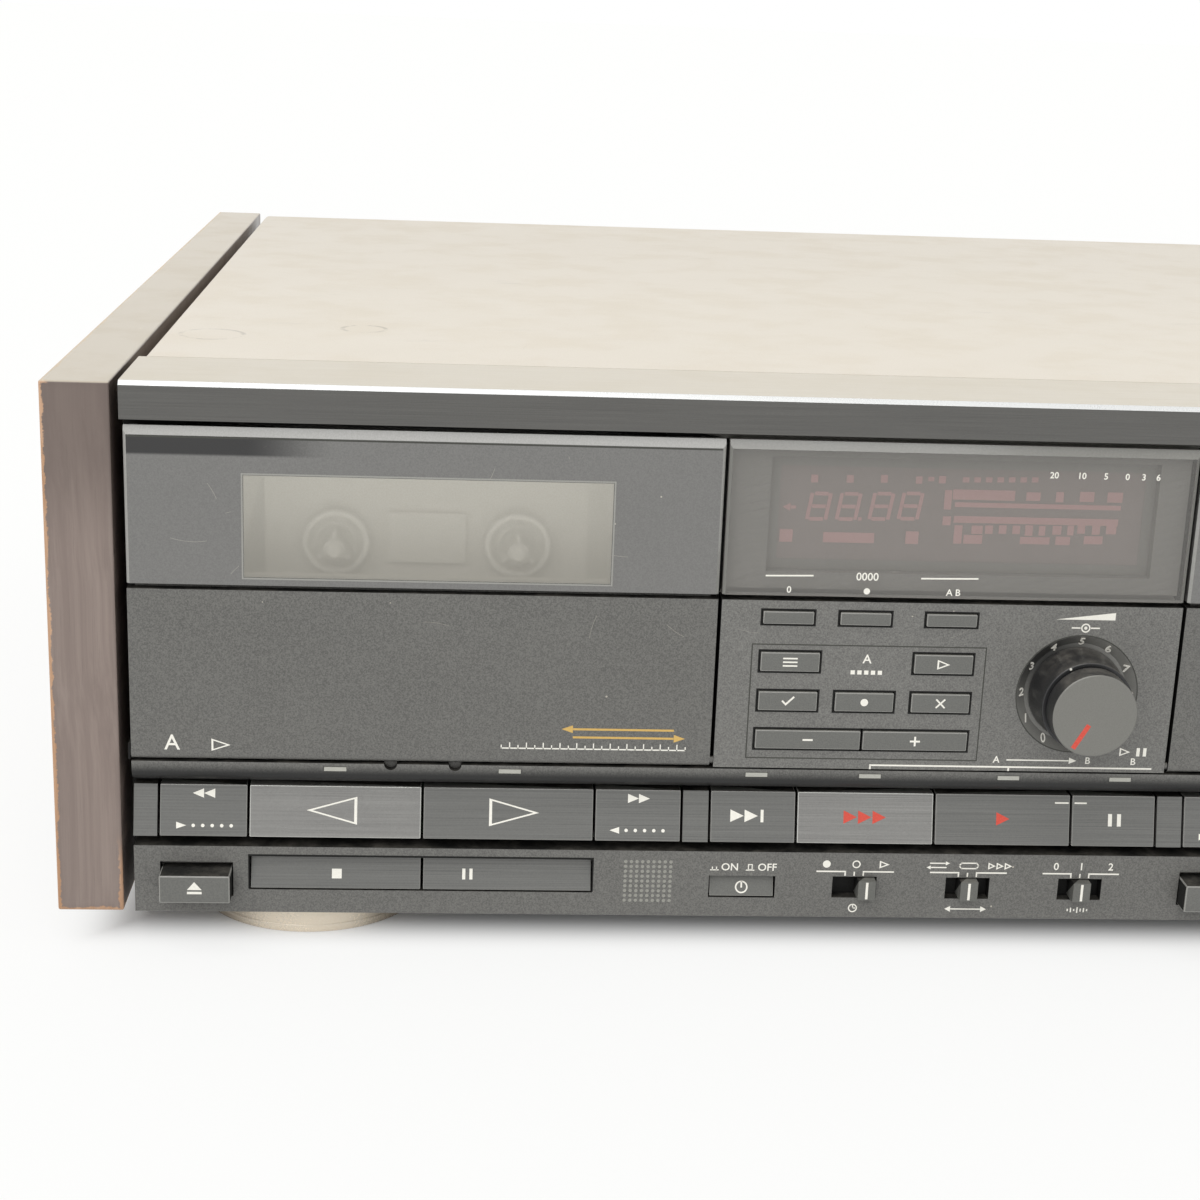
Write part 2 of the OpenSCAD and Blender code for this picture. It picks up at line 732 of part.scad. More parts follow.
module mechanism() {
    m = u_a + door_mid;
    u0 = u_a + mech_in;
    u1 = u_a + door_w - mech_in;
    belt_d = fly_d + 2;
    pulley_v = v_lens1 - 14;
    difference() {
        union() {
            block([u0, u1], [mech_d, mech_e], [v_door + 2, v_lens1 - 3]);
            for (s = [-1, 1]) {
                rod(m + s * capstan_pitch / 2, v_cap, mech_d - 3, fly_d - 1, capstan_r + 2.4);
                rod(m + s * hub_pitch / 2, v_hub, mech_d, mech_e + 1, spindle_r + 2.4);
            }
            block([m - 9, m + 9], [mech_d - 1.6, mech_e], [v_hub - 5, v_hub + 7]);
        }
        for (s = [-1, 1]) {
            rod(m + s * capstan_pitch / 2, v_cap, mech_d - 5, fly_d, capstan_r + run);
            rod(m + s * hub_pitch / 2, v_hub, mech_d - 2, mech_e + 2, spindle_r - 1 + run);
        }
    }
    block([m - 15, m + 15], [pocket_d + 3, mech_d + tiny], [v_door + well_low + 0.8, v_shelf - 5]);
    block([m - 7, m + 7], [pocket_d + 4, mech_d - 3], [v_shelf - 5 - tiny, v_shelf - 2]);
    for (s = [-1, 1])
        block(about(m + s * roller_u, roller_w), [pocket_d + 5, mech_d + tiny], [v_shelf - 9, v_shelf - 3]);
    difference() {
        block(
            about(m, capstan_pitch + 2 * thrust_in), [thrust_d, thrust_d + thrust_t],
            [v_cap - thrust_in, pulley_v + motor_r + 4]
        );
        rod(m, pulley_v, thrust_d - 1, thrust_d + thrust_t + 1, 4);
    }
    for (s = [-1, 1]) {
        post_m = m + s * (capstan_pitch / 2 + post_out);
        post_v = v_cap - flywheel_r - post_wide / 2;
        rod(post_m, pulley_v + 6, mech_e - tiny, thrust_d + tiny, post_thick);
        rod(post_m, post_v, mech_e - tiny, thrust_d + tiny, post_thick);
        block(
            about(post_m, post_wide), [thrust_d, thrust_d + thrust_t],
            [post_v - post_wide / 2, v_cap - thrust_in + tiny]
        );
    }
    rod(m, pulley_v, thrust_d + thrust_t, thrust_d + thrust_t + motor_l, motor_r);
    rod(m, pulley_v, belt_d - 2, thrust_d + thrust_t + tiny, pulley_r);
    translate([m, belt_d + 4, 0]) rotate([90, 0, 0]) linear_extrude(4) difference() {
        belt_loop(belt_gap + belt_t, pulley_v);
        belt_loop(belt_gap, pulley_v);
    }
}

// Area inside a belt that runs round both flywheels and the motor pulley
module belt_loop(g, pulley_v) {
    hull() {
        for (s = [-1, 1]) translate([s * capstan_pitch / 2, v_cap]) circle(flywheel_r + g, $fn = 32);
        translate([0, pulley_v]) circle(pulley_r + g, $fn = 24);
    }
}

module mechanisms() {
    color("#a9a69d") place() for (s = [0, b_shift]) translate([s, 0, 0]) mechanism();
}

// Door with its frame and cassette holder; the pins reach out by the given lengths
module door(left, right) {
    u1 = u_a + door_w;
    m = u_a + door_mid;
    window_v = v_lens0 + 1.8;
    difference() {
        union() {
            along_u(u_a, u1) polygon(concat(
                arc(hinge_r, hinge_v, hinge_r, 180, 360, 12), [[skin, hinge_v], [skin, v_split], [0, v_split]]
            ));
            block([u_a + 1.5, u1 - 1.5], [lens_t, pocket_d], [hinge_v + 1, v_lens1 - 1]);
            for (s = [-1, 1]) translate([m, 0, 0]) mirror([s < 0 ? 1 : 0, 0, 0]) {
                block([holder_in, holder_out], [pocket_d - tiny, holder_e], [v_shelf - holder_t, v_shelf + 52]);
                block([holder_in - 13, holder_out], [pocket_e, holder_e], [v_shelf - holder_t, v_shelf + 52]);
                block([holder_in - 15, holder_out], [pocket_d - tiny, holder_e], [v_shelf - holder_t, v_shelf]);
            }
            bar(hinge_r, hinge_v, u_a - left, u_a + 1, pin_r);
            bar(hinge_r, hinge_v, u1 - 1, u1 + right, pin_r);
        }
        block([m - window_w / 2, m + window_w / 2], [-1, pocket_d + 1], [window_v, window_v + window_h]);
    }
}

module door_a() {
    color("#3a3a39") place() door(edge - 2 * tiny, col_gap + pin_bite);
}

module door_b() {
    color("#3a3a39") place() translate([b_shift, 0, 0]) door(col_gap + pin_bite, col_gap + pin_bite);
}

module lens_a() {
    color("#4a4a48") place() lens(u_a, door_w);
}

module lens_b() {
    color("#4a4a48") place() translate([b_shift, 0, 0]) lens(u_a, door_w);
}

// Moving pieces of the front

// Transport key between two dividing lines
module row_key(u) {
    u0 = u[0] + key_clear;
    u1 = u[1] - key_clear;
    um = (u0 + u1) / 2;
    back = plate_d + key_back;
    color("#484847") place() {
        along_u(u0, u1) key_profile();
        block([u0, u1], [back - tiny, back + flange_t], grown([band_h, v_lip0 + channel_up], -key_clear));
        block(about(um, stem_w), [back, board_d - key_free], about(v_key0 + key_h * 0.4, stem_w));
    }
}

// Flange behind the skin that keeps a key from falling out; lap says at which ends it reaches past the opening
module key_flange(u, d, v, lap) {
    block([u[0] - lap[0] * flange_lap, u[1] + lap[1] * flange_lap], [d, d + flange_t], grown(v, flange_lap));
}

// Key with a tilted face in the lower band; lap says on which sides its flange reaches behind the skin
module band_key(u, v, slope, lap) {
    um = (u[0] + u[1]) / 2;
    vm = (v[0] + v[1]) / 2;
    d = skin + key_clear;
    color("#434342") place() {
        along_u(u[0], u[1]) polygon([[0.1, v[0]], [slope, v[1]], [d + tiny, v[1]], [d + tiny, v[0]]]);
        key_flange(u, d, v, lap);
        block(about(um, stem_w), [d, board_d - eject_free], about(vm, stem_w));
    }
}

// Small key with a flat face in the control field
module small_key(u, v, w, h, lap = [1, 1]) {
    d = skin + key_clear;
    c = key_clear;
    u0 = u - w / 2 + c;
    u1 = u + w / 2 - c;
    color("#3f3f3e") place() {
        block([u0, u1], [-small_proud, d + tiny], about(v, h - 2 * c));
        key_flange([u0, u1], d, about(v, h - 2 * c), lap);
        block(about(u, stem_w), [d, board_d - key_free], about(v, stem_w * 0.7));
    }
}

module counter_key(i) {
    small_key(u_c + count_u[i], v_split - count_drop, count_w, count_h);
}

// Left (0) or right (1) step key of the pair that shares one slot
module step_key(i) {
    small_key(u_c + pair_mid + (i - 0.5) * pair_w / 2, v_door + row_low, pair_w / 2, small_h, [1 - i, i]);
}

module eject_key(u0) {
    d = skin + key_clear;
    a = u0 + eject_u + key_clear;
    b = u0 + eject_u + eject_w - key_clear;
    v0 = eject_v + key_clear;
    um = (a + b) / 2;
    color("#3f3f3e") place() {
        block([a, b], [-eject_proud, d + tiny], [v0, v0 + eject_key_h]);
        key_flange([a, b], d, [v0, v0 + eject_key_h], [1, 1]);
        block(about(um, stem_w), [d, board_d - eject_free], about(v0 + eject_key_h / 2, stem_w));
    }
}

// Left (0) or right (1) key of the pair that shares one slot
module pair_key(u0, i) {
    s = u0 + pair_u + i * stop_w / 2;
    v = grown([stop_v, stop_v + stop_h], -key_clear);
    band_key(grown([s, s + stop_w / 2], -key_clear), v, stop_slope, [1 - i, i]);
}

module power_key() {
    u = [u_c + power_u, u_c + power_u + power_w];
    v = [power_v, power_v + power_h];
    band_key(grown(u, -key_clear), grown(v, -key_clear), power_slope, [1, 1]);
}

module slide_switch(u) {
    v0 = slide_v + key_clear;
    v1 = slide_v + slide_h - key_clear;
    half = slide_w / 2 + slide_way;
    color("#3f3f3e") place() {
        block([u - slide_knob / 2, u + slide_knob / 2], [-slide_proud, skin + key_clear + tiny], [v0, v1]);
        key_flange([u - half, u + half], skin + key_clear, [v0, v1], [0, 0]);
    }
}

module level_knob() {
    color("#4b4b4a") place() translate([u_c + dial_u, 0, v_door + dial_v]) {
        rod(0, 0, -knob_reach, -ring_h - 0.4, knob_r);
        rod(0, 0, -ring_h - 0.5, skin + pot_gap + pot_deep - 0.3, shaft_r);
    }
}

module level_ring() {
    color("#3a3a39") place() translate([u_c + dial_u, 0, v_door + dial_v]) difference() {
        union() {
            translate([0, ring_foot, 0]) rotate([90, 0, 0])
                cylinder(r1 = ring_r, r2 = ring_r - 0.6, h = ring_h + ring_foot);
            rod(0, 0, -tiny, skin + 2, sleeve_r);
        }
        rod(0, 0, -ring_h - 1, skin + 3, sleeve_r - sleeve_wall);
    }
}

// Reel table with a splined spindle, its shaft through the plate and its gear behind
module reel(side, shift) {
    tip = pocket_d + 2.5;
    table_d = pocket_e - 1;
    gear_d = mech_e + 1.3;
    color("#d8d6cf") place() translate([u_a + door_mid + side * hub_pitch / 2 + shift, 0, v_hub]) {
        rod(0, 0, tip + 1.5, table_d + tiny, spindle_r);
        translate([0, tip, 0]) rotate([-90, 0, 0])
            cylinder(r1 = spindle_r / 2, r2 = spindle_r, h = 1.5 + tiny);
        for (a = [0, 120, 240]) rotate([0, a, 0])
            block([-0.5, 0.5], [tip + 2.5, table_d + tiny], [spindle_r - 0.6, spindle_r + 1.6]);
        rod(0, 0, table_d, table_d + 2.4, reel_r);
        rod(0, 0, table_d + 2.3, gear_d + 3.5, spindle_r - 1);
        rod(0, 0, gear_d, gear_d + 3, reel_r + 4);
    }
}

module capstan(side, shift) {
    color("#c9c6bd") place() translate([u_a + door_mid + side * capstan_pitch / 2 + shift, 0, v_cap]) {
        rod(0, 0, pocket_d + 3, thrust_d - 0.3, capstan_r);
        rod(0, 0, fly_d, fly_e, flywheel_r);
        rod(0, 0, fly_e - tiny, fly_e + 2, 5);
    }
}

front_panel();
trim_bar();
top_cover();
chassis();
side_panels();
feet();
display_window();
control_board();
main_board();
transformer();
sockets();
screws();
mechanisms();
door_a();
lens_a();
door_b();
lens_b();
row_key([a_keys[0], a_keys[1]]);  // a_rewind
row_key([a_keys[1], a_keys[2]]);  // a_reverse
row_key([a_keys[2], a_keys[3]]);  // a_forward
row_key([a_keys[3], a_keys[4]]);  // a_fast
pair_key(u_a, 0);  // a_stop
pair_key(u_a, 1);  // a_pause
eject_key(u_a);  // a_eject
row_key([b_keys[0], b_keys[1]]);  // b_rewind
row_key([b_keys[1], b_keys[2]]);  // b_reverse
row_key([b_keys[2], b_keys[3]]);  // b_forward
row_key([b_keys[3], b_keys[4]]);  // b_fast
pair_key(u_b, 0);  // b_stop
pair_key(u_b, 1);  // b_pause
eject_key(u_b);  // b_eject
row_key(record_keys);  // b_record
row_key([c_keys[0], c_keys[1]]);  // c_search
row_key([c_keys[1], c_keys[2]]);  // c_high
row_key([c_keys[2], c_keys[3]]);  // c_normal
row_key([c_keys[3], c_keys[4]]);  // c_auto
counter_key(0);  // counter_reset
counter_key(1);  // counter_memory
counter_key(2);  // counter_select
small_key(u_c + prog_u[0], v_door + row_top, small_w, small_h);  // prog_display
small_key(u_c + prog_u[2], v_door + row_top, small_w, small_h);  // prog_start
small_key(u_c + prog_u[0], v_door + row_mid, small_w, small_h);  // prog_check
small_key(u_c + prog_u[1], v_door + row_mid, small_w, small_h);  // prog_set
small_key(u_c + prog_u[2], v_door + row_mid, small_w, small_h);  // prog_clear
step_key(0);  // prog_minus
step_key(1);  // prog_plus
power_key();
slide_switch(slide_at[0] + slide_way - 0.3);  // slide_timer
slide_switch(slide_at[1]);  // slide_direction
slide_switch(slide_at[2]);  // slide_noise
level_knob();
level_ring();
reel(-1, 0);  // reel_a_left
reel(1, 0);  // reel_a_right
reel(-1, b_shift);  // reel_b_left
reel(1, b_shift);  // reel_b_right
capstan(-1, 0);  // capstan_a_left
capstan(1, 0);  // capstan_a_right
capstan(-1, b_shift);  // capstan_b_left
capstan(1, b_shift);  // capstan_b_right
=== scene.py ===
"""Looks of a double auto-reverse cassette deck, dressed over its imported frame."""

import logging
import math
from dataclasses import dataclass, field, replace
from enum import Enum, IntEnum
from typing import Callable, List, Mapping, Optional, Sequence, Tuple, Union

import bmesh
import bpy
from mathutils import Matrix, Vector


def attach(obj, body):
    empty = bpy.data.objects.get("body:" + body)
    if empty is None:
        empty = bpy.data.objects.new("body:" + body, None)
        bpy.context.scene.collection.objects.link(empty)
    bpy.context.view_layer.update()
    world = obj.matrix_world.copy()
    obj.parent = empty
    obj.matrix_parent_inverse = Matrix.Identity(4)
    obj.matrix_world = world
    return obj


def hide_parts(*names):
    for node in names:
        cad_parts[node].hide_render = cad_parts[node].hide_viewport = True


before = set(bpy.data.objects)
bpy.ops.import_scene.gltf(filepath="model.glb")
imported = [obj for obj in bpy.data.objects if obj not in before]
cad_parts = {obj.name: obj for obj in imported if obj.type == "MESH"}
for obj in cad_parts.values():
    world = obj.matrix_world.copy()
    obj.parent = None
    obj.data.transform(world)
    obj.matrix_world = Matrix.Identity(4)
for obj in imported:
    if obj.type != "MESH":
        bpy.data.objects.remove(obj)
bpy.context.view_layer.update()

LOG = logging.getLogger("deck")
MM = 0.001
TALL_BODY = "deck"

Point = Tuple[float, float]
Triple = Tuple[float, float, float]
Box = Tuple[float, float, float, float]
Colour = Tuple[float, float, float, float]
Socket = bpy.types.NodeSocket
Tree = bpy.types.NodeTree
Feed = Union[float, Sequence[float], Socket]
PaintRule = Callable[[Vector, Vector], int]


def linear(code: str) -> Colour:
    """Turns a screen colour into the linear colour that shaders use.

    Args:
        code: Six hex digits, red first.

    Returns:
        Linear red, green and blue, and full alpha.
    """
    parts = [int(code[i : i + 2], 16) / 255 for i in (0, 2, 4)]
    flat = [p / 12.92 if p <= 0.04045 else ((p + 0.055) / 1.055) ** 2.4 for p in parts]
    return flat[0], flat[1], flat[2], 1.0


@dataclass(frozen=True)
class FrontAxes:
    """Axes of the front: u to the right, d to the back and v up, in millimetres."""

    middle: float = 215.0
    depth: float = 165.25
    lift: float = 9.5

    def at(self, u: float, d: float, v: float) -> Vector:
        """Place in metres of a point on the front's axes."""
        return Vector(((u - self.middle) * MM, (d - self.depth) * MM, (v + self.lift) * MM))

    def read(self, place: Vector) -> Vector:
        """Point on the front's axes of a place in metres."""
        return Vector((place.x / MM + self.middle, place.y / MM + self.depth, place.z / MM - self.lift))


FRONT = FrontAxes()


@dataclass(frozen=True)
class Columns:
    """Columns and rows of the front and the depth behind its skin, in millimetres."""

    deck_a: float = 0.8
    centre: float = 136.0
    deck_b: float = 245.1
    door_w: float = 134.3
    key_low: float = 19.1
    key_high: float = 31.0
    lip: float = 37.8
    split: float = 79.3
    lens_low: float = 80.5
    lens_high: float = 116.7
    behind: float = 3.1


COLS = Columns()


# Shader effects


class Nodes:
    """Adds nodes to one tree and links them."""

    def __init__(self, tree: Tree) -> None:
        """Keeps the tree that gets the nodes."""
        self.tree = tree

    def feed(self, socket: Socket, value: Feed) -> None:
        """Links a socket to another, or sets its own value.

        Args:
            socket: Input to fill.
            value: Socket or plain value.
        """
        if isinstance(value, Socket):
            self.tree.links.new(value, socket)
        else:
            socket.default_value = value

    def add(self, kind: str, inputs: Optional[Mapping] = None, **options: object) -> bpy.types.Node:
        """Adds one node.

        Args:
            kind: Shader node type without its common prefix.
            inputs: Value or socket for each input that is set.
            options: Properties of the node.

        Returns:
            The new node.
        """
        node = self.tree.nodes.new("ShaderNode" + kind)
        for key, value in options.items():
            setattr(node, key, value)
        for key, value in (inputs or {}).items():
            self.feed(node.inputs[key], value)
        return node

    def math(self, operation: str, a: Feed, b: Feed = 0.0, clamp: bool = False) -> Socket:
        """Result of one sum on one or two values."""
        return self.add("Math", {0: a, 1: b}, operation=operation, use_clamp=clamp).outputs[0]

    def plus(self, a: Feed, b: Feed, clamp: bool = False) -> Socket:
        """Sum of two values."""
        return self.math("ADD", a, b, clamp)

    def minus(self, a: Feed, b: Feed) -> Socket:
        """Difference of two values."""
        return self.math("SUBTRACT", a, b)

    def times(self, a: Feed, b: Feed) -> Socket:
        """Product of two values."""
        return self.math("MULTIPLY", a, b)

    def ramp(self, value: Feed, low: float, high: float, floor: float = 0.0, roof: float = 1.0) -> Socket:
        """Soft step of a value between two limits."""
        inputs = {"Value": value, "From Min": low, "From Max": high, "To Min": floor, "To Max": roof}
        return self.add("MapRange", inputs, interpolation_type="SMOOTHSTEP").outputs[0]

    def blend(self, factor: Feed, a: Feed, b: Feed) -> Socket:
        """Colour between two colours."""
        return self.add("Mix", {0: factor, 6: a, 7: b}, data_type="RGBA").outputs[2]

    def noise(self, vector: Feed, scale: float, detail: float = 2.0, rough: float = 0.5) -> Socket:
        """Value of a cloudy pattern."""
        inputs = {"Vector": vector, "Scale": scale, "Detail": detail, "Roughness": rough}
        return self.add("TexNoise", inputs).outputs["Fac"]

    def place(self) -> Socket:
        """Place on the piece, in millimetres."""
        coordinates = self.add("TexCoord").outputs["Object"]
        return self.add("VectorMath", {0: coordinates, "Scale": 1 / MM}, operation="SCALE").outputs[0]

    def stretch(self, vector: Feed, scale: Sequence[float]) -> Socket:
        """A place with each axis drawn out by its own factor."""
        return self.add("VectorMath", {0: vector, 1: scale}, operation="MULTIPLY").outputs[0]

    def scaled(self, vector: Feed, size: Feed) -> Socket:
        """A place in steps of a given size."""
        inputs = {0: vector, "Scale": self.math("DIVIDE", 1.0, size)}
        return self.add("VectorMath", inputs, operation="SCALE").outputs[0]

    def offset(self, a: Feed, b: Feed) -> Socket:
        """The way to one place from another."""
        return self.add("VectorMath", {0: a, 1: b}, operation="SUBTRACT").outputs[0]

    def split(self, vector: Feed) -> bpy.types.NodeOutputs:
        """The three parts of a vector."""
        return self.add("SeparateXYZ", {0: vector}).outputs


class Effect(Enum):
    """Effects that several finishes share."""

    GRAIN = "fine_grain"
    BRUSHED = "brushed_lines"
    DUST = "dust_film"
    HANDLING = "handling_marks"
    SPECKS = "pale_specks"
    HAIRLINES = "hairlines"
    BOX_EDGE = "box_edge"
    VENEER = "veneer_figure"


class EffectShelf:
    """Builds each shared effect once, as a shader node group, with the method of its name."""

    def get(self, effect: Effect) -> Tree:
        """Gives the group of an effect, made at its first use.

        Args:
            effect: The effect.

        Returns:
            Its node group.
        """
        found = bpy.data.node_groups.get(effect.value)
        if found is None:
            found = bpy.data.node_groups.new(effect.value, "ShaderNodeTree")
            maker: Callable[[Tree], None] = getattr(self, effect.name.lower())
            maker(found)
        return found

    @staticmethod
    def open_group(
        tree: Tree, inputs: Mapping[str, Feed], outputs: Sequence[str]
    ) -> Tuple[Nodes, bpy.types.NodeOutputs, bpy.types.NodeInputs]:
        """Gives a group its sockets.

        Args:
            tree: The empty group.
            inputs: Name and default of each input; three numbers make a vector.
            outputs: Names of the outputs, all plain values.

        Returns:
            The node helper, the group's inputs and its outputs to feed.
        """
        for name, value in inputs.items():
            kind = "NodeSocketFloat" if isinstance(value, float) else "NodeSocketVector"
            socket = tree.interface.new_socket(name=name, in_out="INPUT", socket_type=kind)
            socket.default_value = value
        for name in outputs:
            tree.interface.new_socket(name=name, in_out="OUTPUT", socket_type="NodeSocketFloat")
        source = tree.nodes.new("NodeGroupInput")
        target = tree.nodes.new("NodeGroupOutput")
        return Nodes(tree), source.outputs, target.inputs

    def grain(self, tree: Tree) -> None:
        """Fine even grain of a moulded or sprayed surface, with some cloudy mottle.

        Args:
            tree: The empty group.
        """
        n, given, out = self.open_group(tree, {"Size": 0.4, "Mottle": 0.2}, ["Tone", "Height"])
        place = n.scaled(n.place(), given["Size"])
        fine = n.ramp(n.noise(place, 1.0, 3.0, 0.6), 0.25, 0.75)
        broad = n.noise(n.place(), 0.04, 3.0, 0.55)
        rest = n.times(fine, n.minus(1.0, given["Mottle"]))
        n.feed(out["Tone"], n.plus(rest, n.times(broad, given["Mottle"])))
        n.feed(out["Height"], fine)

    def brushed(self, tree: Tree) -> None:
        """Fine streaks that run along the width of the front.

        Args:
            tree: The empty group.
        """
        n, given, out = self.open_group(tree, {"Length": 40.0, "Width": 0.2}, ["Tone", "Height"])
        along = n.math("DIVIDE", 1.0, given["Length"])
        across = n.math("DIVIDE", 1.0, given["Width"])
        scale = n.add("CombineXYZ", {0: along, 1: across, 2: across}).outputs[0]
        place = n.stretch(n.place(), scale)
        streak = n.noise(place, 1.0, 4.0, 0.7)
        n.feed(out["Tone"], n.ramp(streak, 0.28, 0.72))
        n.feed(out["Height"], streak)

    def dust(self, tree: Tree) -> None:
        """Dust that settles on faces that look up; a high Even spreads it into an even pale film, which on
        the wood is a painted reflection.

        Args:
            tree: The empty group.
        """
        n, given, out = self.open_group(tree, {"Amount": 0.3, "Size": 6.0, "Even": 0.0}, ["Mask"])
        facing = n.split(n.add("TexCoord").outputs["Normal"])[2]
        place = n.scaled(n.place(), given["Size"])
        cloud = n.ramp(n.noise(place, 1.0, 6.0, 0.7), 0.35, 0.8)
        cover = n.math("MAXIMUM", cloud, given["Even"])
        settled = n.times(n.ramp(facing, 0.25, 0.95), cover)
        n.feed(out["Mask"], n.times(settled, given["Amount"]))

    def handling(self, tree: Tree) -> None:
        """Soft patches where hands have changed the gloss.

        Args:
            tree: The empty group.
        """
        n, given, out = self.open_group(tree, {"Size": 25.0}, ["Mask"])
        place = n.scaled(n.place(), given["Size"])
        n.feed(out["Mask"], n.ramp(n.noise(place, 1.0, 5.0, 0.6), 0.42, 0.7))

    def specks(self, tree: Tree) -> None:
        """Few small pale specks of dust.

        Args:
            tree: The empty group.
        """
        n, given, out = self.open_group(tree, {"Spacing": 5.0, "Share": 0.3, "Spread": 0.04}, ["Mask"])
        place = n.scaled(n.place(), given["Spacing"])
        cells = n.add("TexVoronoi", {"Vector": place, "Scale": 1.0})
        lot = n.add("SeparateColor", {0: cells.outputs["Color"]}).outputs
        size = n.times(given["Spread"], n.plus(lot[1], 0.25))
        near = n.math("LESS_THAN", cells.outputs["Distance"], size)
        n.feed(out["Mask"], n.times(near, n.math("LESS_THAN", lot[0], given["Share"])))

    def hairlines(self, tree: Tree) -> None:
        """Sparse short scratches, each at its own angle, on front and top faces alike.

        Args:
            tree: The empty group.
        """
        n, given, out = self.open_group(tree, {"Spacing": 16.0, "Line": 0.045, "Share": 0.4}, ["Mask"])
        x, y, z = n.split(n.place())
        flat = n.add("CombineXYZ", {0: x, 1: n.plus(y, z)}).outputs[0]
        scale = n.math("DIVIDE", 1.0, given["Spacing"])
        cells = n.add("TexVoronoi", {"Vector": flat, "Scale": scale}, voronoi_dimensions="2D")
        across, along, _ = n.split(n.offset(flat, cells.outputs["Position"]))
        lot = n.add("SeparateColor", {0: cells.outputs["Color"]}).outputs
        turn = n.times(lot[0], math.tau)
        sine, cosine = n.math("SINE", turn), n.math("COSINE", turn)
        run = n.plus(n.times(across, cosine), n.times(along, sine))
        side = n.minus(n.times(along, cosine), n.times(across, sine))
        side = n.plus(side, n.times(n.times(run, run), 0.03))
        thin = n.math("LESS_THAN", n.math("ABSOLUTE", side), given["Line"])
        reach = n.times(n.times(lot[1], lot[1]), n.times(given["Spacing"], 0.3))
        short = n.math("LESS_THAN", n.math("ABSOLUTE", run), reach)
        few = n.math("LESS_THAN", lot[2], given["Share"])
        n.feed(out["Mask"], n.times(n.times(thin, short), few))

    def box_edge(self, tree: Tree) -> None:
        """Nearness to the edges of a box, ragged, for chipped and worn corners.

        Args:
            tree: The empty group.
        """
        inputs = {"Centre": (0.0, 0.0, 0.0), "Half": (1.0, 1.0, 1.0), "Width": 1.5, "Ragged": 1.2}
        n, given, out = self.open_group(tree, inputs, ["Mask", "Reach"])
        place = n.place()
        away = n.offset(place, given["Centre"])
        away = n.add("VectorMath", {0: away}, operation="ABSOLUTE").outputs[0]
        a, b, c = n.split(n.offset(given["Half"], away))
        second = n.math("MAXIMUM", n.math("MINIMUM", a, b), n.math("MINIMUM", n.math("MAXIMUM", a, b), c))
        fine = n.times(n.noise(place, 0.9, 3.0, 0.7), 0.35)
        wave = n.plus(n.noise(place, 0.11, 5.0, 0.75), fine)
        ragged = n.times(n.minus(wave, 0.62), n.times(given["Ragged"], 6.0))
        reach = n.minus(n.plus(given["Width"], ragged), second)
        n.feed(out["Mask"], n.ramp(reach, -0.1, 0.25))
        n.feed(out["Reach"], n.ramp(reach, -1.6, 0.6))

    def veneer(self, tree: Tree) -> None:
        """Figure and pores of a straight veneer that stands on the front and lies along the sides.

        Args:
            tree: The empty group.
        """
        n, given, out = self.open_group(tree, {"Width": 1.1}, ["Tone", "Pores", "Height"])
        place = n.place()
        facing = n.math("ABSOLUTE", n.split(n.add("TexCoord").outputs["Normal"])[1])
        upright = n.ramp(facing, 0.55, 0.8)
        lying = n.stretch(place, (1.0, 0.012, 1.0))
        standing = n.stretch(place, (1.0, 1.0, 0.012))
        path = n.add("Mix", {0: upright, 4: lying, 5: standing}, data_type="VECTOR").outputs[1]
        bend = n.noise(n.stretch(path, (0.2, 0.2, 0.2)), 1.0, 2.0)
        wander = n.plus(n.times(n.noise(place, 0.008, 2.0), 26.0), n.times(bend, 3.0))
        shift = n.add("VectorMath", {0: path, 1: wander}, operation="ADD").outputs[0]
        fine = n.noise(n.scaled(shift, given["Width"]), 0.7, 5.0, 0.65)
        broad = n.noise(shift, 0.12, 3.0, 0.55)
        figure = n.plus(n.times(fine, 0.5), n.times(broad, 0.5))
        pores = n.noise(path, 5.5, 3.0, 0.7)
        n.feed(out["Tone"], n.ramp(figure, 0.36, 0.64))
        n.feed(out["Pores"], n.ramp(pores, 0.58, 0.7))
        n.feed(out["Height"], n.minus(figure, n.ramp(pores, 0.56, 0.7)))


SHELF = EffectShelf()


# Finishes


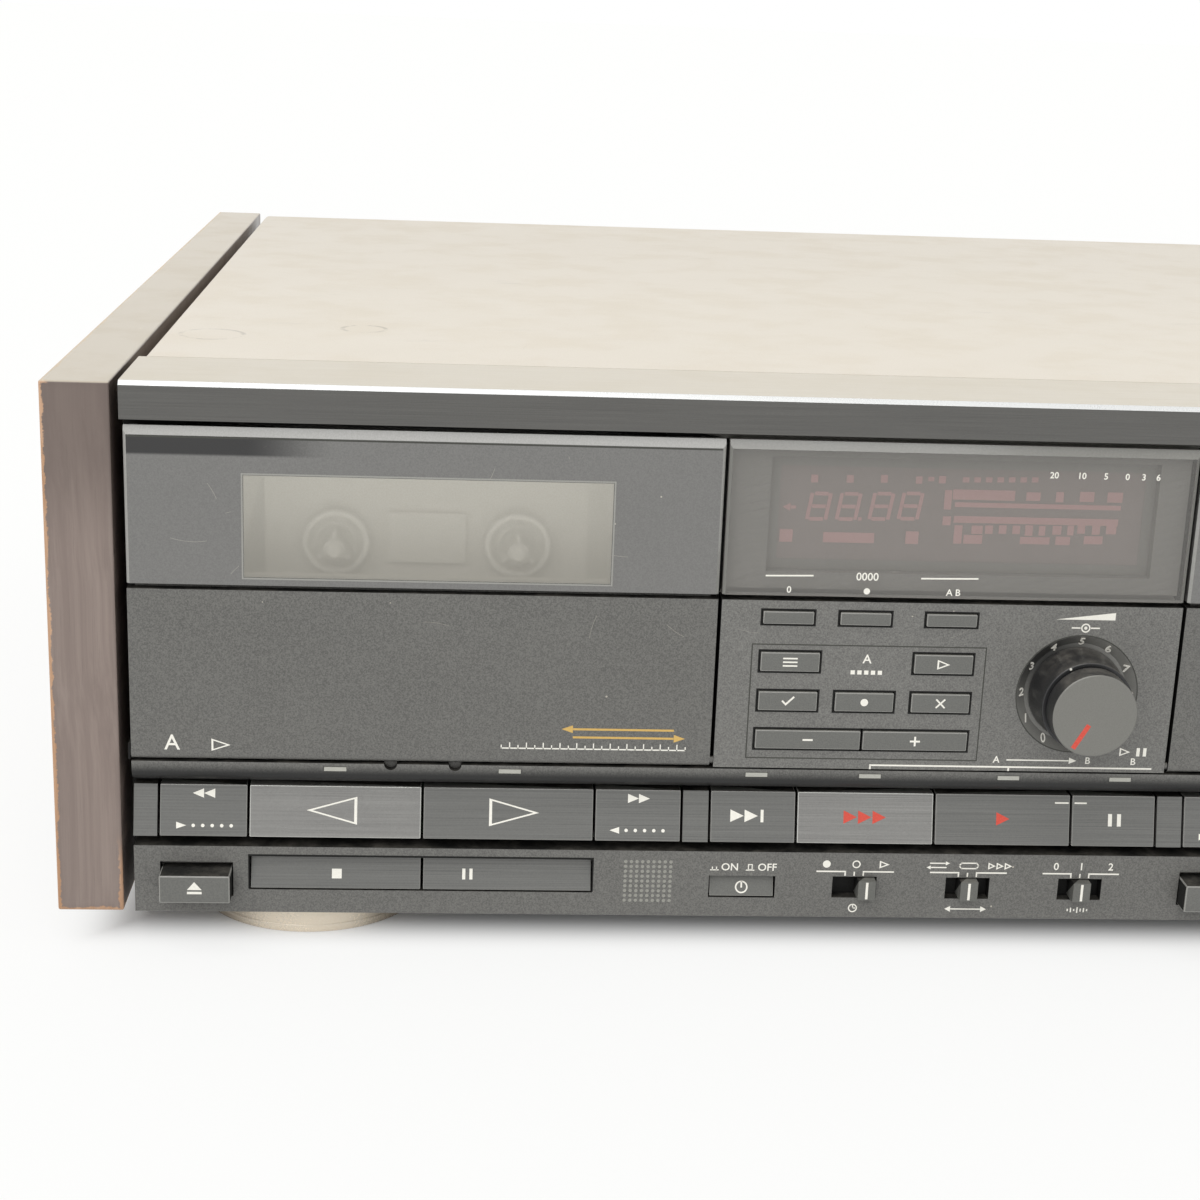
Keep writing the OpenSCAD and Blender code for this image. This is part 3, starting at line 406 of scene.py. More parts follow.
@dataclass(frozen=True)
class Finish:
    """A surface with two tones, grain, gloss changes and the marks of use."""

    name: str
    colour: str
    tone: str
    roughness: float = 0.45
    metallic: float = 0.0
    specular: float = 0.5
    coat: float = 0.0
    coat_rough: float = 0.08
    grain_size: float = 0.35
    grain_depth: float = 0.004
    mottle: float = 0.2
    brush: float = 0.0
    brush_length: float = 45.0
    brush_width: float = 0.16
    dust: float = 0.0
    even_sheen: float = 0.0
    dust_colour: str = "d8d0c2"
    marks: float = 0.08
    mark_size: float = 22.0
    specks: float = 0.0
    hairlines: float = 0.0
    alpha: float = 1.0

    def material(self) -> bpy.types.Material:
        """Gives the material of this finish, made at its first use."""
        made = bpy.data.materials.get(self.name)
        if made is None:
            made = bpy.data.materials.new(self.name)
            made.use_nodes = True
            self.mix(Nodes(made.node_tree), made.node_tree.nodes["Principled BSDF"])
        return made

    @staticmethod
    def effect(n: Nodes, effect: Effect, **values: Feed) -> bpy.types.NodeOutputs:
        """Places a shared effect in a material with its own values.

        Args:
            n: Helper for the material's tree.
            effect: The effect.
            values: Inputs of its group.

        Returns:
            The group's outputs.
        """
        node = n.tree.nodes.new("ShaderNodeGroup")
        node.node_tree = SHELF.get(effect)
        for key, value in values.items():
            n.feed(node.inputs[key], value)
        return node.outputs

    def set_plain(self, shader: bpy.types.Node) -> None:
        """Sets what is the same all over the surface.

        Args:
            shader: The material's Principled shader.
        """
        plain = {
            "Metallic": self.metallic, "Specular IOR Level": self.specular, "Coat Weight": self.coat,
            "Coat Roughness": self.coat_rough, "Alpha": self.alpha,
        }
        for name, value in plain.items():
            shader.inputs[name].default_value = value

    def mix(self, n: Nodes, shader: bpy.types.Node) -> None:
        """Builds colour, roughness and relief from the effects.

        Args:
            n: Helper for the material's tree.
            shader: The material's Principled shader.
        """
        self.set_plain(shader)
        grain = self.effect(n, Effect.GRAIN, Size=self.grain_size, Mottle=self.mottle)
        tone, height = grain["Tone"], grain["Height"]
        if self.brush:
            lines = self.effect(n, Effect.BRUSHED, Length=self.brush_length, Width=self.brush_width)
            tone = n.plus(n.times(lines["Tone"], self.brush), n.times(tone, 1 - self.brush))
            height = lines["Height"]
        colour = n.blend(tone, linear(self.colour), linear(self.tone))
        hands = self.effect(n, Effect.HANDLING, Size=self.mark_size)["Mask"]
        rough = n.plus(n.times(hands, self.marks), self.roughness - self.marks * 0.4)
        rough = n.plus(rough, n.times(n.minus(tone, 0.5), 0.12), True)
        if self.dust:
            film = self.effect(n, Effect.DUST, Amount=self.dust, Even=self.even_sheen)["Mask"]
            colour = n.blend(film, colour, linear(self.dust_colour))
            rough = n.plus(rough, n.times(film, 0.3), True)
        if self.specks:
            spots = self.effect(n, Effect.SPECKS, Share=self.specks)["Mask"]
            colour = n.blend(n.times(spots, 0.55), colour, linear(self.dust_colour))
        if self.hairlines:
            lines = self.effect(n, Effect.HAIRLINES)["Mask"]
            colour = n.blend(n.times(lines, self.hairlines), colour, linear(self.dust_colour))
        bump = n.add("Bump", {"Strength": 0.6, "Distance": self.grain_depth * MM, "Height": height})
        n.feed(shader.inputs["Base Color"], colour)
        n.feed(shader.inputs["Roughness"], rough)
        n.feed(shader.inputs["Normal"], bump.outputs[0])


@dataclass(frozen=True)
class VeneerFinish(Finish):
    """Dark veneer under worn lacquer, chipped to the pale wood along its edges, with a pale film on its top
    faces that is a painted reflection with some dust.
    """

    centre: Triple = (0.0, 0.0, 0.0)
    half: Triple = (1.0, 1.0, 1.0)
    bare: str = "c9a487"
    chip: float = 0.7
    outer: float = 232.2
    deeper: float = 0.6

    def mix(self, n: Nodes, shader: bpy.types.Node) -> None:
        """Builds the veneer's figure, pores, lacquer and chips, the darker top of the front and the painted
        reflection on the top faces.

        Args:
            n: Helper for the material's tree.
            shader: The material's Principled shader.
        """
        self.set_plain(shader)
        wood = self.effect(n, Effect.VENEER)
        colour = n.blend(wood["Tone"], linear(self.colour), linear(self.tone))
        colour = n.blend(n.times(wood["Pores"], 0.3), colour, linear("5f524c"))
        hands = self.effect(n, Effect.HANDLING, Size=self.mark_size)["Mask"]
        sides = {"Centre": self.centre, "Half": self.half}
        edge = self.effect(n, Effect.BOX_EDGE, Width=self.chip, Ragged=0.5, **sides)
        across, _, up = n.split(n.place())
        outer = n.ramp(n.math("ABSOLUTE", across), self.outer - 2.5, self.outer - 1.0)
        corner = n.ramp(up, 18.0, 30.0, 0.9, 0.0)
        # Darker towards the top of the front.
        colour = n.blend(n.ramp(up, 96.0, 122.0, 0.0, self.deeper), colour, linear("5a4d47"))
        chips = n.times(edge["Mask"], n.math("MAXIMUM", outer, corner))
        colour = n.blend(n.times(edge["Reach"], 0.12), colour, linear("4a3d37"))
        fibre = n.blend(wood["Tone"], linear(self.bare), linear("a9805f"))
        colour = n.blend(chips, colour, fibre)
        # Pale film on the top faces: a painted reflection, with some dust.
        film = self.effect(n, Effect.DUST, Amount=self.dust, Even=self.even_sheen)["Mask"]
        colour = n.blend(film, colour, linear(self.dust_colour))
        rough = n.plus(n.times(hands, self.marks), self.roughness)
        rough = n.plus(rough, n.times(chips, 0.35), True)
        relief = n.minus(n.times(wood["Height"], 0.25), n.times(chips, 2.0))
        bump = n.add("Bump", {"Strength": 0.7, "Distance": 0.06 * MM, "Height": relief})
        n.feed(shader.inputs["Base Color"], colour)
        n.feed(shader.inputs["Roughness"], rough)
        n.feed(shader.inputs["Normal"], bump.outputs[0])


@dataclass(frozen=True)
class StainedFinish(Finish):
    """Satin paint with faint ring stains where cups have stood, and painted shade that darkens it towards the
    back.
    """

    rings: Tuple[Triple, ...] = ()
    stain_and_shade_colour: str = "a59d8f"
    depth: Point = (-150.0, 170.0)

    def mix(self, n: Nodes, shader: bpy.types.Node) -> None:
        """Adds the rings, the smears and a painted shade towards the back to the plain finish.

        Args:
            n: Helper for the material's tree.
            shader: The material's Principled shader.
        """
        super().mix(n, shader)
        colour = shader.inputs["Base Color"].links[0].from_socket
        for x, y, r in self.rings:
            flat = n.stretch(n.offset(n.place(), (x, y, 0.0)), (1.0, 1.0, 0.0))
            far = n.add("VectorMath", {0: flat}, operation="LENGTH").outputs["Value"]
            line = n.ramp(n.math("ABSOLUTE", n.minus(far, r)), 0.2, 0.9, 1.0, 0.0)
            broken = n.ramp(n.noise(n.place(), 0.16, 3.0, 0.7), 0.4, 0.6)
            mask = n.times(n.times(line, broken), 0.55)
            colour = n.blend(mask, colour, linear(self.stain_and_shade_colour))
        smear = n.ramp(n.noise(n.stretch(n.place(), (0.03, 0.07, 0.05)), 1.0, 6.0, 0.75), 0.6, 0.8)
        colour = n.blend(n.times(smear, 0.3), colour, linear(self.stain_and_shade_colour))
        # Painted shade, darker towards the back.
        deep = n.ramp(n.split(n.place())[1], *self.depth, 0.0, 0.22)
        n.feed(shader.inputs["Base Color"], n.blend(deep, colour, linear(self.stain_and_shade_colour)))


@dataclass(frozen=True)
class ShadedFinish(Finish):
    """A finish with painted shade that deepens towards one height, and along it towards one end or away from
    two middles.
    """

    shade: str = "2b2a2a"
    share: float = 0.8
    full: float = 0.0
    gone: float = 1.0
    run: Optional[Point] = None
    fold: float = 0.0

    def mix(self, n: Nodes, shader: bpy.types.Node) -> None:
        """Adds the painted shade to the plain finish.

        Args:
            n: Helper for the material's tree.
            shader: The material's Principled shader.
        """
        super().mix(n, shader)
        colour = shader.inputs["Base Color"].links[0].from_socket
        across, _, up = n.split(n.place())
        mask = self.fade(n, up, self.full, self.gone)
        if self.fold:
            across = n.math("ABSOLUTE", n.minus(n.math("ABSOLUTE", across), self.fold))
        if self.run:
            mask = n.times(mask, self.fade(n, across, *self.run))
        colour = n.blend(n.times(mask, self.share), colour, linear(self.shade))
        n.feed(shader.inputs["Base Color"], colour)

    @staticmethod
    def fade(n: Nodes, value: Feed, full: float, gone: float) -> Socket:
        """One where a value has reached the first bound and none from the second on."""
        ends = (1.0, 0.0) if full < gone else (0.0, 1.0)
        return n.ramp(value, min(full, gone), max(full, gone), *ends)


class Skin:
    """The finishes of the deck, by the pieces that wear them."""

    panel = Finish(
        "panel_moulding", "7b7a76", "51504e", 0.42, specular=0.4, grain_size=0.32, dust=0.2, specks=0.14,
        hairlines=0.16,
    )
    centre = replace(panel, name="centre_moulding", colour="84837f", tone="585755")
    # Lip, darkened towards its rolled lower part with painted shade.
    lip = ShadedFinish(
        "panel_lip_painted_shade", "7b7a76", "51504e", 0.42, specular=0.4, grain_size=0.32, shade="161616", share=0.95,
        full=44.2, gone=47.2,
    )
    # Dark inner parts; on the walls of openings, the edges of doors and faces in the gaps it is painted
    # shade.
    inner = Finish("inner_moulding_painted_shade", "1d1d1c", "161615", 0.6, specular=0.2, dust=0.12)
    door = replace(
        panel, name="door_moulding", colour="7a7975", tone="504f4d", roughness=0.4, specks=0.25,
        hairlines=0.3,
    )
    holder = Finish("door_holder", "a9a69d", "9d9a91", 0.45, specular=0.4)
    # Dial dish, darkened at its upper left with painted shade.
    dial = ShadedFinish(
        "dial_dish", "83827e", "74736f", 0.45, grain_size=0.2, shade="1e1e1e", share=0.9,
        full=77.0, gone=60.0, run=(-3.0, 14.0),
    )
    key = Finish(
        "key_brushed", "7c7c79", "595957", 0.34, metallic=0.3, brush=0.75, brush_length=60.0,
        brush_width=0.11, grain_depth=0.003, dust=0.15,
    )
    # Lighter copy of the key finish for keys that catch the light: painted highlight, with larger handling
    # marks.
    key_worn = replace(
        key, name="key_brushed_highlight", colour="9a9996", tone="6b6a68", roughness=0.3, metallic=0.35, marks=0.2,
        mark_size=16.0,
    )
    # Lighter copies of the key finish on the rounded edges: painted highlight.
    key_edge = Finish("key_edge", "93928e", "7c7b78", 0.28, metallic=0.4, brush=0.4, grain_depth=0.002)
    key_edge_worn = replace(key_edge, name="key_edge_worn", colour="cfcfca", tone="b0b0ab", roughness=0.25)
    small_key = Finish("small_key", "71716d", "5e5e5b", 0.38, specular=0.45, grain_size=0.3, dust=0.2)
    # Lighter copy on the small keys' rounded edges: painted highlight.
    small_edge = Finish("small_key_edge", "979691", "83827e", 0.3, specular=0.6, grain_depth=0.002)
    key_top = Finish(
        "key_top_dark", "282826", "1d1d1c", 0.75, specular=0.15, grain_size=0.5, grain_depth=0.03, dust=0.12,
    )
    trim = Finish(
        "trim_anodised", "696865", "535250", 0.32, metallic=0.4, brush=0.75, brush_width=0.12,
        grain_depth=0.003,
    )
    # Pale top of the trim bar: a painted reflection, with some dust.
    trim_top = Finish(
        "trim_top", "d8d0c0", "ccc4b4", 0.36, metallic=0.25, brush=0.75, brush_width=0.14, dust=0.2,
    )
    # Polished chamfer whose bright colour is a painted highlight.
    polished = Finish("trim_polished", "dfe0e0", "d2d3d2", 0.3, metallic=0.3, brush=0.5, grain_depth=0.001)
    # The pale base colour is a painted reflection of the bright surroundings on the top; rings and smears are
    # stains.
    cover = StainedFinish(
        "cover_stains_painted_reflection", "e3dacb", "dad1c2", 0.42, grain_depth=0.006, mottle=0.35, specks=0.25,
        dust_colour="a89f90", hairlines=0.25, marks=0.16, rings=((-202.0, -100.3, 7.8), (-165.0, -86.0, 5.6)),
    )
    zinc = Finish(
        "zinc_sheet", "b4b2ac", "9f9d97", 0.42, metallic=0.7, grain_size=2.5, mottle=0.5, marks=0.15,
        dust=0.2,
    )
    # Champagne metal whose near-white base carries a painted reflection of the floor; each foot's sides are
    # darkened with painted shade.
    foot = ShadedFinish(
        "foot_champagne_painted_light", "fff3e0", "f9ead4", 0.26, metallic=0.15, grain_size=0.6, brush=0.25, shade="857868",
        share=0.85, full=90.0, gone=99.0, run=(24.0, 9.0), fold=175.0,
    )
    rubber = Finish("foot_rubber", "3a3835", "2f2d2b", 0.8, specular=0.25, grain_size=0.6, grain_depth=0.02)
    # Smoked lens with a painted dark reflection below its bevel at the left end.
    lens = ShadedFinish(
        "lens_smoked_painted_reflection", "797876", "696866", 0.12, coat=0.3, coat_rough=0.04, grain_size=0.32,
        grain_depth=0.0003, marks=0.1, specks=0.2, hairlines=0.3, shade="171617", share=0.95, full=120.3,
        gone=119.5, run=(-188.0, -166.0),
    )
    # Lighter copy of the lens finish for its bevels: painted highlight.
    bevel = Finish("lens_bevel_highlight", "989793", "8a8985", 0.12, specular=0.6, coat=0.4, grain_depth=0.0003)
    # Bevel of the display window in its own tone: painted highlight.
    display_bevel = Finish(
        "display_bevel", "85847f", "777671", 0.14, coat=0.3, grain_depth=0.0003,
    )
    display_side = Finish("display_side", "7f7e7a", "757470", 0.5, specular=0.2)
    # Clear pane, darker towards the bottom with painted shade.
    pane = ShadedFinish(
        "lens_clear_painted_shade", "e2ded3", "d8d4c9", 0.08, grain_depth=0.0002, specks=0.25, hairlines=0.3,
        alpha=0.5, shade="b6b2a8", share=0.9, full=91.0, gone=116.0,
    )
    clear = Finish("lens_back", "dedad0", "d4d0c6", 0.08, grain_depth=0.0002, alpha=0.04)
    display = Finish(
        "display_smoked", "92908c", "888682", 0.14, coat=0.3, coat_rough=0.05, grain_size=0.3,
        grain_depth=0.0003, marks=0.1, specks=0.18, hairlines=0.25, alpha=0.38,
    )
    tube = Finish("display_tube", "9a8f8b", "918682", 0.3, specular=0.4)
    unlit = Finish("display_unlit", "cca5a2", "c29b98", 0.5, specular=0.3)
    # Lighter tone on the surfaces behind the display window and on its mask: painted light.
    surround = Finish("display_surround_painted_light", "928f8a", "888580", 0.5, specular=0.3)
    light = Finish("indicator_bar", "b4b3ab", "a6a59d", 0.25, coat=0.3)
    board = Finish(
        "board_laminate", "4d6b48", "42603e", 0.4, grain_size=1.2, mottle=0.5, dust=0.3,
    )
    chip = Finish("chip_epoxy", "2c2c2d", "252526", 0.5, specular=0.4)
    can = Finish("capacitor_sleeve", "2d3440", "272d38", 0.35)
    sink = Finish("heat_sink", "b3b2ad", "9e9d98", 0.4, metallic=0.85, brush=0.5)
    core = Finish(
        "core_laminations", "5d564e", "4d4740", 0.5, metallic=0.4, brush=0.7, brush_length=400.0,
        brush_width=0.5,
    )
    coil = Finish("coil_tape", "b08a4a", "a07c40", 0.35, grain_size=1.0, mottle=0.5)
    # Pale plate, darkened at its top with painted shade.
    mechanism = ShadedFinish(
        "mechanism_plate_painted_shade", "dedad0", "d2cec4", 0.45, grain_size=0.8, shade="131312", share=0.97,
        full=119.5, gone=117.5,
    )
    head = Finish("head_metal", "8f8d88", "7f7d78", 0.3, metallic=0.8, brush=0.4)
    belt = Finish("belt_rubber", "2a2a29", "232322", 0.7, specular=0.3)
    motor = Finish("motor_can", "aeaba4", "9b9891", 0.35, metallic=0.8, brush=0.3)
    reel = Finish("reel_table", "efece2", "e5e2d8", 0.42)
    spindle = Finish("reel_spindle", "c6c3ba", "bab7ae", 0.4)
    table = Finish("reel_face", "b0ada4", "a4a198", 0.4)
    flywheel = Finish("flywheel_turned", "b8a98a", "a8997c", 0.28, metallic=0.9, brush=0.2)
    screw = Finish("screw_plated", "9f9d98", "8b8984", 0.32, metallic=0.85, grain_size=0.3)
    black = Finish("black_moulding", "3b3b3a", "333332", 0.45, specular=0.4, dust=0.2)
    slide = Finish("slide_knob", "6b6b67", "5e5e5a", 0.4, specular=0.4, dust=0.15)
    contact = Finish("contact_plated", "c9b98c", "b9a97c", 0.25, metallic=0.9)
    ring_red = Finish("socket_red", "a8342c", "982c25", 0.4)
    ring_white = Finish("socket_white", "e2dfd6", "d6d3ca", 0.4)
    knob_face = Finish("knob_face", "7d7c77", "72716c", 0.36, metallic=0.2, grain_size=0.2, specks=0.1)
    knob_side = Finish(
        "knob_side", "262627", "1f1f20", 0.34, coat=0.15, coat_rough=0.2, dust=0.2,
    )
    cream = Finish("print_cream", "f4f1e8", "eae7de", 0.55, specular=0.3, grain_depth=0.001)
    dots = replace(cream, name="print_dots", colour="9c9b94", tone="8e8d86")
    amber = replace(cream, name="print_amber", colour="d8b46c", tone="cba65e")
    red = replace(cream, name="print_red", colour="d8584a", tone="c94b3e", roughness=0.5)
    ink = replace(cream, name="print_black", colour="33322f", tone="2a2927")
    plate = Finish("rating_plate", "c9c8c2", "bdbcb6", 0.35, metallic=0.5, brush=0.6, marks=0.12)
    # Light line round the window and on the pane's bevels: painted highlight of the lit bevel.
    border_highlight = Finish("window_border", "9b9a95", "8f8e89", 0.3, grain_depth=0.001)
    groove = Finish("engraved_line", "4d4d49", "454541", 0.6, specular=0.2, grain_depth=0.001)
    # The even pale film of dust_colour on the wood's top faces is a painted reflection, with some dust.
    wood = VeneerFinish(
        "side_veneer", "8f8078", "7e6f68", 0.34, coat=0.25, coat_rough=0.2, marks=0.14,
        dust=0.9, even_sheen=0.8, dust_colour="dacfb9", centre=(-224.55, 7.75, 72.65),
        half=(7.65, 173.0, 63.15),
    )
    wood_right = replace(wood, name="side_veneer_right", centre=(224.55, 7.75, 72.65))


# Pieces


class CadPiece:
    """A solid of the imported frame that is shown, with its own finishes and softened edges."""

    weld_reach = 0.002
    flat_turn = 0.4
    flat_weight = 80

    def __init__(self, node: str) -> None:
        """Takes the node's object from the frame."""
        self.node = node
        self.piece: bpy.types.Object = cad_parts[node]

    def wear(self, *finishes: Finish, rule: Optional[PaintRule] = None) -> "CadPiece":
        """Dresses the solid.

        Args:
            finishes: One finish for each slot.
            rule: Gives the slot of a face from its middle on the front's axes and its normal.

        Returns:
            This piece.
        """
        mesh = self.piece.data
        mesh.materials.clear()
        for finish in finishes:
            mesh.materials.append(finish.material())
        for polygon in mesh.polygons:
            slot = rule(FRONT.read(polygon.center), polygon.normal) if rule else 0
            polygon.material_index = int(slot)
            polygon.use_smooth = True
        LOG.info("%s: %d finishes", self.node, len(finishes))
        return self

    def weld(self) -> None:
        """Joins the points that the solid's faces share."""
        weld = self.piece.modifiers.new("weld", "WELD")
        weld.merge_threshold = self.weld_reach * MM

    def crisp(self, angle: float = 25.0) -> "CadPiece":
        """Keeps sharp edges sharp and smooths only the curved faces.

        Args:
            angle: Smallest turn in degrees that stays an edge.

        Returns:
            This piece.
        """
        self.weld()
        parted = self.piece.modifiers.new("parted", "EDGE_SPLIT")
        parted.split_angle = math.radians(angle)
        return self

    def soften(
        self, width: float, segments: int = 2, edge_slot: int = -1, angle: float = 32.0
    ) -> "CadPiece":
        """Rounds the edges.

        Args:
            width: Width of the rounding in millimetres.
            segments: Facets across the rounding.
            edge_slot: Slot that the rounded edges wear, or -1 for that of their neighbours.
            angle: Smallest turn in degrees that counts as an edge.

        Returns:
            This piece.
        """
        self.weld()
        flat = self.piece.modifiers.new("flat", "DECIMATE")
        flat.decimate_type = "DISSOLVE"
        flat.angle_limit = math.radians(self.flat_turn)
        flat.delimit = {"MATERIAL"}
        bevel = self.piece.modifiers.new("edges", "BEVEL")
        bevel.width = width * MM
        bevel.segments = segments
        bevel.limit_method = "ANGLE"
        bevel.angle_limit = math.radians(angle)
        bevel.use_clamp_overlap = False
        bevel.material = edge_slot
        bevel.miter_outer = "MITER_ARC"
        shade = self.piece.modifiers.new("shade", "WEIGHTED_NORMAL")
        shade.weight = self.flat_weight
        shade.keep_sharp = False
        return self


class Builder:
    """Turns meshes into pieces that ride on a body."""

    @staticmethod
    def piece(
        name: str, mesh: bpy.types.Mesh, body: str, slot: Optional[str], *finishes: Finish
    ) -> bpy.types.Object:
        """Makes an object of a mesh and hangs it on a body.

        Args:
            name: Name of the piece.
            mesh: Its mesh, in metres in the shared frame.
            body: The body that it moves with.
            slot: The record's material slot, or None for print; not used.
            finishes: One finish for each slot of the mesh.

        Returns:
            The new object.
        """
        thing = bpy.data.objects.new(name, mesh)
        bpy.context.scene.collection.objects.link(thing)
        for finish in finishes:
            mesh.materials.append(finish.material())
        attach(thing, body)
        LOG.info("%s rides on %s", name, body)
        return thing

    @staticmethod
    def lathe(
        name: str, middle: Vector, profile: Sequence[Point], sides: int = 48, upright: bool = False
    ) -> bpy.types.Mesh:
        """Turns a closed outline round an axis that runs from front to back, or upwards.

        Args:
            name: Name of the mesh.
            middle: Middle of the turn on the front's axes.
            profile: Radius of each corner and its place along the axis, behind or above the middle.
            sides: Steps of the turn.
            upright: Whether the axis runs upwards.

        Returns:
            The closed ring's mesh, in metres.
        """
        points: List[Vector] = []
        for k in range(sides):
            across, other = math.cos(math.tau * k / sides), math.sin(math.tau * k / sides)
            for r, along in profile:
                away = (r * across, r * other, along) if upright else (r * across, along, r * other)
                points.append(FRONT.at(*(middle + Vector(away))))
        count = len(profile)
        faces = []
        for k in range(sides):
            here, then = k * count, (k + 1) % sides * count
            for m in range(count):
                after = (m + 1) % count
                faces.append([here + m, here + after, then + after, then + m])
        made = Builder.mesh(name, points, faces)
        for polygon in made.polygons:
            polygon.use_smooth = True
        return made

    @staticmethod
    def mesh(name: str, points: Sequence[Vector], faces: Sequence[Sequence[int]]) -> bpy.types.Mesh:
        """Mesh of points and faces with its normals turned outwards.

        Args:
            name: Name of the mesh.
            points: Places in metres.
            faces: Points of each face.

        Returns:
            The mesh.
        """
        made = bpy.data.meshes.new(name)
        made.from_pydata([tuple(p) for p in points], [], [tuple(f) for f in faces])
        shape = bmesh.new()
        shape.from_mesh(made)
        bmesh.ops.recalc_face_normals(shape, faces=shape.faces[:])
        shape.to_mesh(made)
        shape.free()
        return made


@dataclass(frozen=True)
class Face:
    """A flat face that carries printing: x to the right and y up along it, in millimetres."""

    u: float = 0.0
    d: float = 0.0
    v: float = 0.0
    lean: float = 0.0
    back: bool = False

    def point(self, x: float, y: float, out: float) -> Vector:
        """Place in metres of a point on the face, or before it.

        Args:
            x: To the right.
            y: Up.
            out: Height before the surface.

        Returns:
            The place.
        """
        if self.back:
            return FRONT.at(self.u + x, self.d + out, self.v + y)
        turn = math.radians(self.lean)
        d = self.d + y * math.sin(turn) - out * math.cos(turn)
        v = self.v + y * math.cos(turn) + out * math.sin(turn)
        return FRONT.at(self.u + x, d, v)


@dataclass(frozen=True)
class DishFace(Face):
    """Inside of the conical dish round the level knob, measured from its middle."""

    rim: float = 14.3
    floor_r: float = 12.2
    deep: float = 1.6
    slope: float = 1.25

    def point(self, x: float, y: float, out: float) -> Vector:
        """Place in metres of a point on the dish, or before it."""
        d = self.deep * min(max((self.rim - math.hypot(x, y)) / (self.rim - self.floor_r), 0.0), 1.0)
        return FRONT.at(self.u + x, self.d + d - out * self.slope, self.v + y)


class Stencil:
    """Collects printed shapes on one face and makes one thin raised piece of them."""

    capital = 0.72
    bold = 0.03
    arrow_line = 2.6

    def __init__(self, face: Face, proud: float = 0.04, sunk: float = 0.03) -> None:
        """Keeps the face and the height of the print.

        Args:
            face: What carries the print.
            proud: Height before the face.
            sunk: Depth into it.
        """
        self.face = face
        self.proud = proud
        self.sunk = sunk
        self.points: List[Vector] = []
        self.faces: List[List[int]] = []

    def loop(self, outline: Sequence[Point], out: float) -> List[int]:
        """Adds the points of an outline at one height."""
        self.points.extend(self.face.point(x, y, out) for x, y in outline)
        return list(range(len(self.points) - len(outline), len(self.points)))

    def shape(self, outline: Sequence[Point]) -> "Stencil":
        """Adds a filled outline.

        Args:
            outline: Its corners in turn.

        Returns:
            This stencil.
        """
        top, low = self.loop(outline, self.proud), self.loop(outline, -self.sunk)
        self.faces.extend((top, low[::-1]))
        return self.wall(top, low)

    def wall(self, top: Sequence[int], low: Sequence[int]) -> "Stencil":
        """Joins two outlines of the same count.

        Args:
            top: Points of the upper one.
            low: Points of the lower one.

        Returns:
            This stencil.
        """
        for i in range(len(top)):
            j = (i + 1) % len(top)
            self.faces.append([top[i], low[i], low[j], top[j]])
        return self

    def band(self, outer: Sequence[Point], inner: Sequence[Point]) -> "Stencil":
        """Adds the area between two outlines of the same count.

        Args:
            outer: Corners of the outer one.
            inner: Corners of the inner one.

        Returns:
            This stencil.
        """
        rings = [self.loop(line, out) for line in (outer, inner) for out in (self.proud, -self.sunk)]
        for i in range(len(outer)):
            j = (i + 1) % len(outer)
            self.faces.append([rings[0][i], rings[0][j], rings[2][j], rings[2][i]])
            self.faces.append([rings[1][j], rings[1][i], rings[3][i], rings[3][j]])
        return self.wall(rings[0], rings[1]).wall(rings[2], rings[3])

    def bar(self, x: float, y: float, w: float, h: float) -> "Stencil":
        """Adds a bar round its middle."""
        return self.shape(self.rectangle(x, y, w / 2, h / 2))

    def line(self, a: Point, b: Point, width: float = 0.3) -> "Stencil":
        """Adds a straight stroke.

        Args:
            a: Start.
            b: End.
            width: Width.

        Returns:
            This stencil.
        """
        along = Vector((b[0] - a[0], b[1] - a[1])).normalized() * (width / 2)
        side = Vector((-along.y, along.x))
        ends = [Vector(a) - along, Vector(b) + along]
        corners = [ends[0] - side, ends[1] - side, ends[1] + side, ends[0] + side]
        return self.shape([(c.x, c.y) for c in corners])

    def cross(self, x: float, y: float, size: float, width: float, turn: float = 0.0) -> "Stencil":
        """Adds a cross of one piece, turned by some degrees.

        Args:
            x: Middle, across.
            y: Middle, up.
            size: Length of an arm pair.
            width: Width of an arm.
            turn: Degrees.

        Returns:
            This stencil.
        """
        a, b = size / 2, width / 2
        corner = [(b, b), (b, a), (-b, a)]
        spots: List[Point] = []
        for k in range(4):
            c, s = math.cos(math.radians(turn + 90 * k)), math.sin(math.radians(turn + 90 * k))
            spots.extend((x + p * c - q * s, y + p * s + q * c) for p, q in corner)
        return self.shape(spots)

    def disc(self, x: float, y: float, r: float, sides: int = 20) -> "Stencil":
        """Adds a dot."""
        return self.shape(self.circle(x, y, r, sides))

    def ring(self, x: float, y: float, r: float, width: float, sides: int = 32) -> "Stencil":
        """Adds a circle line."""
        return self.band(self.circle(x, y, r + width / 2, sides), self.circle(x, y, r - width / 2, sides))

    @staticmethod
    def rectangle(x: float, y: float, a: float, b: float) -> List[Point]:
        """Corners of a rectangle round its middle, from its half width and height."""
        return [(x - a, y - b), (x + a, y - b), (x + a, y + b), (x - a, y + b)]

    @staticmethod
    def head(x: float, y: float, w: float, h: float) -> List[Point]:
        """Corners of an arrowhead."""
        return [(x - w / 2, y - h / 2), (x + w / 2, y), (x - w / 2, y + h / 2)]

    @staticmethod
    def circle(x: float, y: float, r: float, sides: int) -> List[Point]:
        """Points of a circle."""
        turns = [2 * math.pi * i / sides for i in range(sides)]
        return [(x + r * math.cos(t), y + r * math.sin(t)) for t in turns]

    def frame(self, x: float, y: float, w: float, h: float, width: float) -> "Stencil":
        """Adds the outline of a rectangle."""
        a, b = w / 2 + width / 2, h / 2 + width / 2
        return self.band(self.rectangle(x, y, a, b), self.rectangle(x, y, a - width, b - width))

